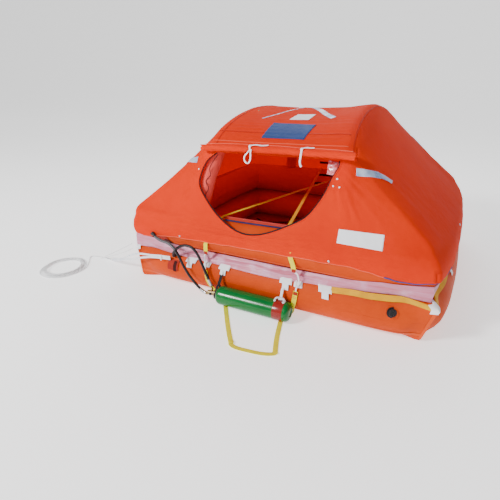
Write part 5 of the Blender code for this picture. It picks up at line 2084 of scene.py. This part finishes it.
def build_valve_head():
    y, z = BOTTLE_AXIS.y, BOTTLE_AXIS.z
    profile = [(-0.3850, 0.0), (-0.3850, 0.0140), (-0.3830, 0.0165), (-0.3600, 0.0168), (-0.3590, 0.0190)]
    profile += [
        (-0.3420, 0.0190), (-0.3410, 0.0160), (-0.3330, 0.0160), (-0.3320, 0.0200), (-0.3105, 0.0200),
        (-0.3105, 0.0)
    ]
    turned(
        "valve_body", profile, BOTTLE_AXIS, brass, "valve_brass", steps=48, body="gas_cylinder",
        replaced=("valve_head",)
    )
    nut = bmesh.new()
    bmesh.ops.create_cone(nut, cap_ends=True, segments=6, radius1=0.0248, radius2=0.0248, depth=0.016)
    bmesh.ops.bevel(nut, geom=nut.edges[:], offset=0.0012, segments=2, affect="EDGES", profile=0.5)
    bmesh.ops.rotate(nut, cent=(0, 0, 0), matrix=Matrix.Rotation(math.radians(90), 3, "Y"), verts=nut.verts)
    bmesh.ops.translate(nut, vec=(-0.3205, y, z), verts=nut.verts)
    finish_piece("valve_nut", nut, brass, "valve_brass", body="gas_cylinder", sharp=30)
    ring_between(
        "valve_port_upper", (-0.3700, y, 0.0655), (-0.3880, y, 0.0626), 0.0100, brass, "valve_brass"
    )
    ring_between(
        "valve_port_lower", (-0.3520, y + 0.002, z + 0.004), (-0.3590, -1.0895, 0.1085), 0.0100, brass,
        "valve_brass"
    )
    ring_between(
        "valve_knob", (-0.3500, y - 0.0150, z), (-0.3500, y - 0.0265, z), 0.0105, black_rubber,
        "black_rubber"
    )


build_valve_head()

# %% [markdown]
# Two short straps carry the bottle. The left one starts white under its patch and goes on as a
# black strap round the neck. The right one is a white cord wound twice round a ring of webbing.
# The white tape at the top of the left strap stays with the raft, and the loop round the neck, the bows and
# the knot swing with the bottle. The two straps that cross the hinge hang on no body, with their places baked
# into their meshes.


# %% Hanger straps
def across_hinge(obj):
    """Bakes a piece's place into its mesh, for a piece that hangs on no body."""
    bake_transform(obj)


def build_hangers():
    left = evenly(
        [
            (-0.290, -1.0500, 0.218), (-0.290, -1.0610, 0.204), (-0.291, -1.0760, 0.178),
            (-0.297, -1.0900, 0.1500)
        ],
        30
    )
    black = strap(
        "hanger_left_strap", left, 0.024, 0.0034, (1, 0, 0), black_webbing, "black_rubber",
        "hung", "t_patch_front_2", body=None, replaced=("hanger_loop_left",),
    )
    across_hinge(black)
    top = evenly([(-0.290, -1.0395, 0.238), (-0.290, -1.0480, 0.222), (-0.290, -1.0560, 0.210)], 12)
    ribbon("hanger_left_tape", top, 0.016, 0.0040, (1, 0, 0), white_webbing, "white_webbing")
    loop = []
    for i in range(49):
        turn = 2 * math.pi * i / 48
        upward = max(0.0, math.cos(turn))
        reach = 0.0385 + 0.035 * upward**6
        x = -0.301 + 0.006 * math.cos(turn)
        y = BOTTLE_AXIS.y + reach * math.sin(turn) * 0.95 + 0.016 * upward**4
        loop.append(Vector((x, y, BOTTLE_AXIS.z + reach * math.cos(turn))))
    ribbon(
        "hanger_left_loop", loop, 0.018, 0.0030, (1, 0, 0), black_webbing, "black_rubber",
        body="gas_cylinder"
    )
    right = evenly(
        [
            (0.205, -1.0480, 0.216), (0.205, -1.0610, 0.204), (0.206, -1.0760, 0.178),
            (0.206, -1.0880, 0.1550)
        ],
        30
    )
    white = strap(
        "hanger_right_strap", right, 0.018, 0.0040, (1, 0, 0), white_webbing, "white_webbing",
        "hung", "t_patch_front_3", body=None, replaced=("hanger_loop_right",),
    )
    across_hinge(white)
    for index, side in enumerate((-1, 1)):
        bow = evenly([
            (0.208, -1.0900, 0.1560), (0.208 + side * 0.014, -1.0960, 0.1660),
            (0.208 + side * 0.030, -1.1040, 0.1620), (0.208 + side * 0.036, -1.1120, 0.1525),
            (0.208 + side * 0.028, -1.1260, 0.1505),
        ], 24)
        ribbon(
            "hanger_bow_%d" % (index + 1), bow, 0.015, 0.0055, (0.4 * side, 1, 0.2), white_webbing,
            "white_webbing", body="gas_cylinder"
        )
    pinch = evenly([(0.186, -1.0900, 0.1520), (0.206, -1.0905, 0.1560), (0.228, -1.0900, 0.1520)], 14)
    round_cord(
        "hanger_knot", pinch, 0.0105, white_yarn, "white_rope", sides=12, body="gas_cylinder",
        profile=lambda s: 0.55 + 0.45 * math.sin(math.pi * s)
    )


build_hangers()

# %% [markdown]
# Two black hoses carry the gas to the tubes. Each starts at a moulded inlet on its own tube and
# ends in a crimped steel sleeve at the valve. The upper one wears a braided sleeve for its first
# stretch. A hose has a length: both are swept along the routes that the frame fixed.

# %% Hoses
HOSE_RADIUS = 0.0105
HOSE_ROUTES = {
    "upper": [
        (-0.93, -1.03, 0.425), (-0.885, -1.05, 0.412), (-0.825, -1.064, 0.402), (-0.752, -1.074, 0.398),
        (-0.692, -1.082, 0.368), (-0.645, -1.086, 0.3), (-0.608, -1.09, 0.232), (-0.555, -1.095, 0.16),
        (-0.48, -1.105, 0.098), (-0.425, -1.111, 0.067), (-0.3885, -1.112, 0.0625)],
    "lower": [
        (-0.745, -1.03, 0.283), (-0.728, -1.05, 0.312), (-0.69, -1.054, 0.352), (-0.64, -1.057, 0.386),
        (-0.58, -1.062, 0.402), (-0.525, -1.066, 0.392), (-0.482, -1.07, 0.352), (-0.45, -1.074, 0.292),
        (-0.418, -1.078, 0.222), (-0.385, -1.083, 0.155), (-0.36, -1.088, 0.112)],
}


def braid():
    """A black braided sleeve with grey threads crossing in it."""
    made = Finish("hose_braid", 0.6)
    hose_map = made.place("UV")
    along, round_it = made.axis(hose_map, "X"), made.axis(hose_map, "Y")
    one = (along * 700.0 + round_it * 18.85).sine()
    other = (along * 700.0 - round_it * 18.85).sine()
    grid = made.ramp(one * other, 0.25, 0.6)
    made.set("Base Color", made.mix(grid, (0.018, 0.018, 0.020), (0.30, 0.31, 0.33)))
    made.set("Normal", made.bump(grid, 0.3, 0.0008))
    return made


def sleeve_waist(s):
    """The pressed rings of a hose's steel sleeve and its narrower ends."""
    end = 0.22 if s < 0.02 or s > 0.98 else 0.0
    return 1.0 - 0.10 * (abs(math.sin(s * 9.4)) < 0.25) - end


def build_hoses():
    sleeve = braid()
    for name, route in HOSE_ROUTES.items():
        points = evenly(route, 220)
        wide = round_cord(
            "hose_" + name, points, HOSE_RADIUS, black_rubber, "black_rubber", sides=16, body=None,
            replaced=("inflation_hose_" + name,),
        )
        across_hinge(wide)
        round(length_of(points), 3)
        round_cord(
            "hose_sleeve_" + name, points[-24:-3], 0.0126, steel, "valve_brass", sides=18,
            body="gas_cylinder", profile=sleeve_waist,
        )
        nut = round_cord(
            "hose_nut_" + name, points[-5:], 0.0134, brass, "valve_brass", sides=6, body="gas_cylinder"
        )
        nut.data.set_sharp_from_angle(angle=math.radians(30))
        way = (points[6] - points[0]).normalized()
        foot = [points[0] + way * step for step in (-0.016, -0.0155, -0.004, 0.010, 0.030, 0.031)]
        scale = (0.9, 1.1, 1.0, 0.80, 0.74, 0.70)
        round_cord(
            "hose_boot_" + name, foot, 0.0160, black_rubber, "black_rubber", sides=24,
            replaced=("hose_inlet_" + name,), profile=lambda s: scale[round(s * 5)],
        )
        print("hose", name, round(length_of(points), 3), "m")
        if name == "upper":
            round_cord("hose_braid_sleeve", points[12:86], 0.0118, sleeve, "black_rubber", sides=16)


build_hoses()


# %% [markdown]
# Each inlet sits on a glued patch of cloth. A red square on the lower tube marks the place where the bridle
# is sewn on. The topping valve near the right corner has a knurled black cap.


# %% Inlet patches and topping valve
def tube_pad(name, tube, side, along, angle, width, height, finish, slot, lift=0.0024, round_it=True):
    """A patch glued flat on a tube; round or square."""
    sheet = flat_grid(18, 18, width, height)
    span = math.degrees(height / tube[2])

    def place(u, v):
        x, y = 2 * u - 1, 2 * v - 1
        if round_it:
            x, y = x * math.sqrt(max(0.0, 1 - y * y / 2)), y * math.sqrt(max(0.0, 1 - x * x / 2))
        ripple = 0.0010 * noise.noise(Vector((u * 6, v * 6, along * 9)))
        return on_tube(tube, side, along + x * width / 2, angle + y * span / 2, lift + ripple)

    bend(sheet, place)
    return thicken(finish_piece(name, sheet, finish, slot, sharp=60), 0.0012)


dark_cloth = coated_cloth("dark_cloth", (0.060, 0.012, 0.012), (0.036, 0.008, 0.008), 0.5, crease=0.3)
tube_pad("inlet_pad_upper", UPPER, 0, -0.880, -22, 0.110, 0.080, red_cloth, "tube_fabric")
tube_pad("inlet_pad_upper_dark", UPPER, 0, -0.850, -36, 0.075, 0.060, dark_cloth, "tube_fabric", 0.0042)
tube_pad("inlet_pad_lower", LOWER, 0, -0.745, 55, 0.090, 0.070, dark_cloth, "tube_fabric", 0.0034)
tube_pad("bridle_pad", LOWER, 0, -0.756, 15, 0.105, 0.088, red_cloth, "tube_fabric", round_it=False)
tube_pad("bridle_pad_fold", LOWER, 0, -0.735, 12, 0.030, 0.086, dark_cloth, "tube_fabric", 0.0040, False)


def build_topping_valve():
    along, angle = 0.935, 22.0
    way = outward(LOWER, 0, along, angle)
    base = on_tube(LOWER, 0, along, angle)
    tube_pad("topping_pad", LOWER, 0, along, angle, 0.088, 0.080, tube_cloth, "tube_fabric", 0.0016)
    steps = [
        (-0.001, 0.034), (0.003, 0.034), (0.0042, 0.0315), (0.0052, 0.0262), (0.006, 0.0262),
        (0.0172, 0.0250), (0.0186, 0.0232), (0.0190, 0.0120), (0.0178, 0.0108)
    ]
    points = [base + way * rise for rise, _ in steps]
    frames = side_frames(points)
    sheet = flat_grid(len(steps) - 1, 72, 0.02, 0.2)

    def place(u, v):
        i = round(u * (len(steps) - 1))
        _, first, second = frames[i]
        turn = 2 * math.pi * v
        grip = 0.0009 * math.cos(turn * 18) if 4 <= i <= 5 else 0.0
        r = steps[i][1] + grip
        return points[i] + first * (r * math.cos(turn)) + second * (r * math.sin(turn))

    bend(sheet, place)
    close_ends(sheet)
    finish_piece(
        "topping_valve_cap", sheet, black_rubber, "black_rubber", replaced=("topping_valve",), sharp=30
    )


build_topping_valve()

# %% [markdown]
# ## Tapes, patches and seams of the canopy
#
# Flat things glued or sewn on the canopy follow its surface exactly. Each one is a small grid
# laid near its place; every point then drops to the nearest place of the canopy and is raised by
# the layers under it. The label and the two roof patches are plain.


# %% Laying a sheet on the canopy
CABIN_MIDDLE = Vector((0, 0, 0.7))


def canopy_face(spot):
    """The nearest place of the canopy and the direction out of it."""
    found, normal, _, _ = canopy_tree.find_nearest(spot)
    return found, normal if normal.dot(found - CABIN_MIDDLE) > 0 else -normal


def on_canopy(spot, lift):
    found, normal = canopy_face(spot)
    return found + normal * lift


def canopy_patch(name, corners, finish, slot):
    """A four-cornered patch; corners run from the top left, clockwise. Its edges curl a little."""
    top_left, top_right, low_right, low_left = (Vector(corner) for corner in corners)
    sheet = flat_grid(30, 20, (top_right - top_left).length, (top_left - low_left).length)

    def place(u, v):
        spot = low_left.lerp(low_right, u).lerp(top_left.lerp(top_right, u), v)
        edge = min(u, 1 - u, v, 1 - v)
        curl = 0.0008 * max(0.0, 1 - edge / 0.08) * (0.5 + noise.noise(spot * 14))
        return on_canopy(spot, 0.0020 + 0.0004 * noise.noise(spot * 30) + curl)

    bend(sheet, place)
    return thicken(finish_piece(name, sheet, finish, slot, sharp=60), 0.0009)


def canopy_tape(name, route, width, finish, slot, lift=0.0016, count=60, ends=0.0):
    """A tape of even width along a route on the canopy; ends slants its two cut ends."""
    points = [canopy_face(point)[0] for point in evenly(route, count)]
    ways = directions(points)
    sheet = flat_grid(count - 1, 8, length_of(points), width)

    def place(u, v):
        i = round(u * (count - 1))
        _, normal = canopy_face(points[i])
        across = ways[i].cross(normal).normalized()
        slant = ways[i] * (ends * (v - 0.5))
        return on_canopy(points[i] + across * (width * (v - 0.5)) + slant, lift)

    bend(sheet, place)
    return thicken(finish_piece(name, sheet, finish, slot, sharp=60), 0.0008)


# %% Label, roof patches and reflective tapes
PATCHES = {
    "skirt_label": (
        ((0.543, -0.957, 0.674), (0.813, -0.934, 0.669), (0.818, -0.980, 0.582), (0.541, -0.985, 0.590)),
        white_cloth
    ),
    "roof_patch_blue": (
        ((-0.111, -0.496, 1.235), (0.223, -0.524, 1.232), (0.204, -0.706, 1.159), (-0.111, -0.702, 1.158)),
        blue_cloth
    ),
    "roof_patch_white": (
        ((-0.005, -0.270, 1.276), (0.135, -0.280, 1.276), (0.130, -0.425, 1.252), (-0.020, -0.420, 1.252)),
        white_cloth
    ),
}
END_TAPE = [(0.592, -0.824, 1.006), (0.650, -0.795, 0.994), (0.715, -0.742, 0.975)]
END_TAPE_TAIL = [(0.700, -0.752, 0.976), (0.740, -0.720, 0.955), (0.785, -0.690, 0.926)]
ROOF_TAPE = [
    (-0.085, 0.182, 1.286), (0.030, 0.020, 1.290), (0.135, -0.154, 1.289), (0.225, -0.300, 1.277),
    (0.300, -0.388, 1.264)
]
ROOF_TAPE_THIN = [(-0.244, -0.416, 1.255), (-0.171, -0.256, 1.277), (-0.109, -0.035, 1.292)]


def flipped(route, across, along):
    """The same route on another quarter of the raft."""
    return [(x * across, y * along, z) for x, y, z in route]


for patch_name, (corners, finish) in PATCHES.items():
    canopy_patch(patch_name, corners, finish, "white_webbing" if finish is white_cloth else "canopy_fabric")
canopy_tape("roof_tape_right", ROOF_TAPE, 0.046, silver_tape, "band_fabric", ends=0.012)
canopy_tape("roof_tape_left", ROOF_TAPE_THIN, 0.014, silver_tape, "band_fabric")
canopy_tape("roof_tape_back", flipped(ROOF_TAPE_THIN, 1, -1), 0.046, silver_tape, "band_fabric")
for across in (1, -1):
    for along in (1, -1):
        place_name = ("right" if across > 0 else "left") + ("_front" if along > 0 else "_back")
        canopy_tape(
            "end_tape_" + place_name, flipped(END_TAPE, across, along), 0.050, silver_tape, "band_fabric",
            ends=0.008
        )
        canopy_tape(
            "end_tape_tail_" + place_name, flipped(END_TAPE_TAIL, across, along), 0.040, silver_tape,
            "band_fabric", lift=0.0030, ends=-0.015,
        )

# %% [markdown]
# The cloth panels meet in flat seams. Two run across the roof above the rolled door, a dark band runs beside
# each arch, and the skirt's hem has a cord sewn in, which is blue round the front right corner. A seam is a
# narrow tape in the canopy's own cloth, in a paler or a darker shade of it. The dark bands beside the arches,
# two on the left and one on the right, are partly seams and partly painted shadow: the shaded flank of each
# arch, drawn on the roof in dark red.


# %% Seams, painted arch shadows, hem cord and piping
def roof_line_at(share):
    return [roof_point(-0.56 + 1.12 * i / 12, share) for i in range(13)]


def arch_line_at(x):
    return [roof_point(x, 0.02 + 0.96 * i / 24) for i in range(25)]


def hem_route(side, start, end):
    steps = max(4, int(abs(end - start) / 0.03))
    return [skirt_point(side, start + (end - start) * i / steps, 0.97) for i in range(steps + 1)]


# Dark red for the roof seams, and for the bands beside the arches, which are partly seams and partly painted
# shadow on each arch's shaded flank.
dark_seam_and_shadow = coated_cloth("dark_seam_and_shadow", (0.62, 0.028, 0.006), (0.50, 0.020, 0.004), 0.55, crease=0.1)
canopy_tape("roof_seam_low", roof_line_at(0.045), 0.006, seam_pale, "canopy_fabric", lift=0.0014, count=90)
canopy_tape("roof_seam_high", roof_line_at(0.110), 0.010, dark_seam_and_shadow, "canopy_fabric", lift=0.0012, count=90)
canopy_tape("roof_seam_back", roof_line_at(0.900), 0.010, dark_seam_and_shadow, "canopy_fabric", lift=0.0012, count=90)
# The bands beside the arches are partly seams and partly painted shadow: the shaded flank of each arch tube,
# laid on the roof in dark red.
for name, x in (("left", -0.590), ("left_inner", -0.515), ("right", 0.590)):
    canopy_tape(
        "arch_seam_shadow_band_" + name, arch_line_at(x), 0.012, dark_seam_and_shadow, "canopy_fabric", lift=0.0012, count=140
    )

HEM_RUNS = {
    "front": (0, -1.15, 0.87), "right": (1, -0.75, 1.0), "back": (2, -1.15, 1.15), "left": (3, -1.0, 1.0)
}
for name, (side, start, end) in HEM_RUNS.items():
    points = evenly(hem_route(side, start, end), 160)
    round_cord("hem_cord_" + name, points, 0.0030, seam_pale, "canopy_fabric", sides=8)
piping = evenly(hem_route(0, 0.87, 1.19) + hem_route(1, -1.04, -0.75)[1:], 120)
round_cord("hem_piping_blue", piping, 0.0046, blue_cloth, "canopy_fabric", sides=8)


# %% [markdown]
# Small steel studs close the hem on the tube, two eyelets sit by the left arch, and the white spots beside
# the door are the heads of its snaps, drawn as small white domes. Each is a flattened ball; the many copies
# are made in one mesh.


# %% Studs and snaps
def studs(name, spots, radius, height, finish, slot):
    """Small domed heads standing square to the canopy."""
    heads = bmesh.new()
    for spot in spots:
        found, normal = canopy_face(Vector(spot))
        made = bmesh.ops.create_uvsphere(heads, u_segments=16, v_segments=8, radius=radius)
        turn = normal.to_track_quat("Z", "Y").to_matrix()
        shape = Matrix.Diagonal((1, 1, height / radius))
        bmesh.ops.transform(heads, matrix=(turn @ shape).to_4x4(), verts=made["verts"])
        bmesh.ops.translate(heads, vec=found + normal * 0.001, verts=made["verts"])
    return finish_piece(name, heads, finish, slot, sharp=60)


HEM_STUDS = [(-0.668, -1.026, 0.452), (0.509, -1.025, 0.474), (1.206, -0.164, 0.525)]
HEM_STUDS += [
    (1.206, 0.60, 0.50), (0.60, 1.03, 0.47), (-0.60, 1.03, 0.47), (-1.206, 0.45, 0.48),
    (-1.206, -0.45, 0.48)
]
studs("hem_studs", HEM_STUDS, 0.0085, 0.0045, steel, "valve_brass")
studs(
    "arch_eyelets", [(-0.453, -0.309, 1.282), (-0.379, -0.208, 1.293)], 0.0075, 0.0035, brass, "valve_brass"
)
DOOR_SNAPS = [
    (0.488, -0.880, 0.968), (0.470, -0.895, 0.925), (0.512, -0.893, 0.920), (-0.555, -0.862, 0.945)
]
studs("door_snaps", DOOR_SNAPS, 0.0060, 0.0030, white_cloth, "white_webbing")
print("tapes, patches, seams and studs laid on the canopy")
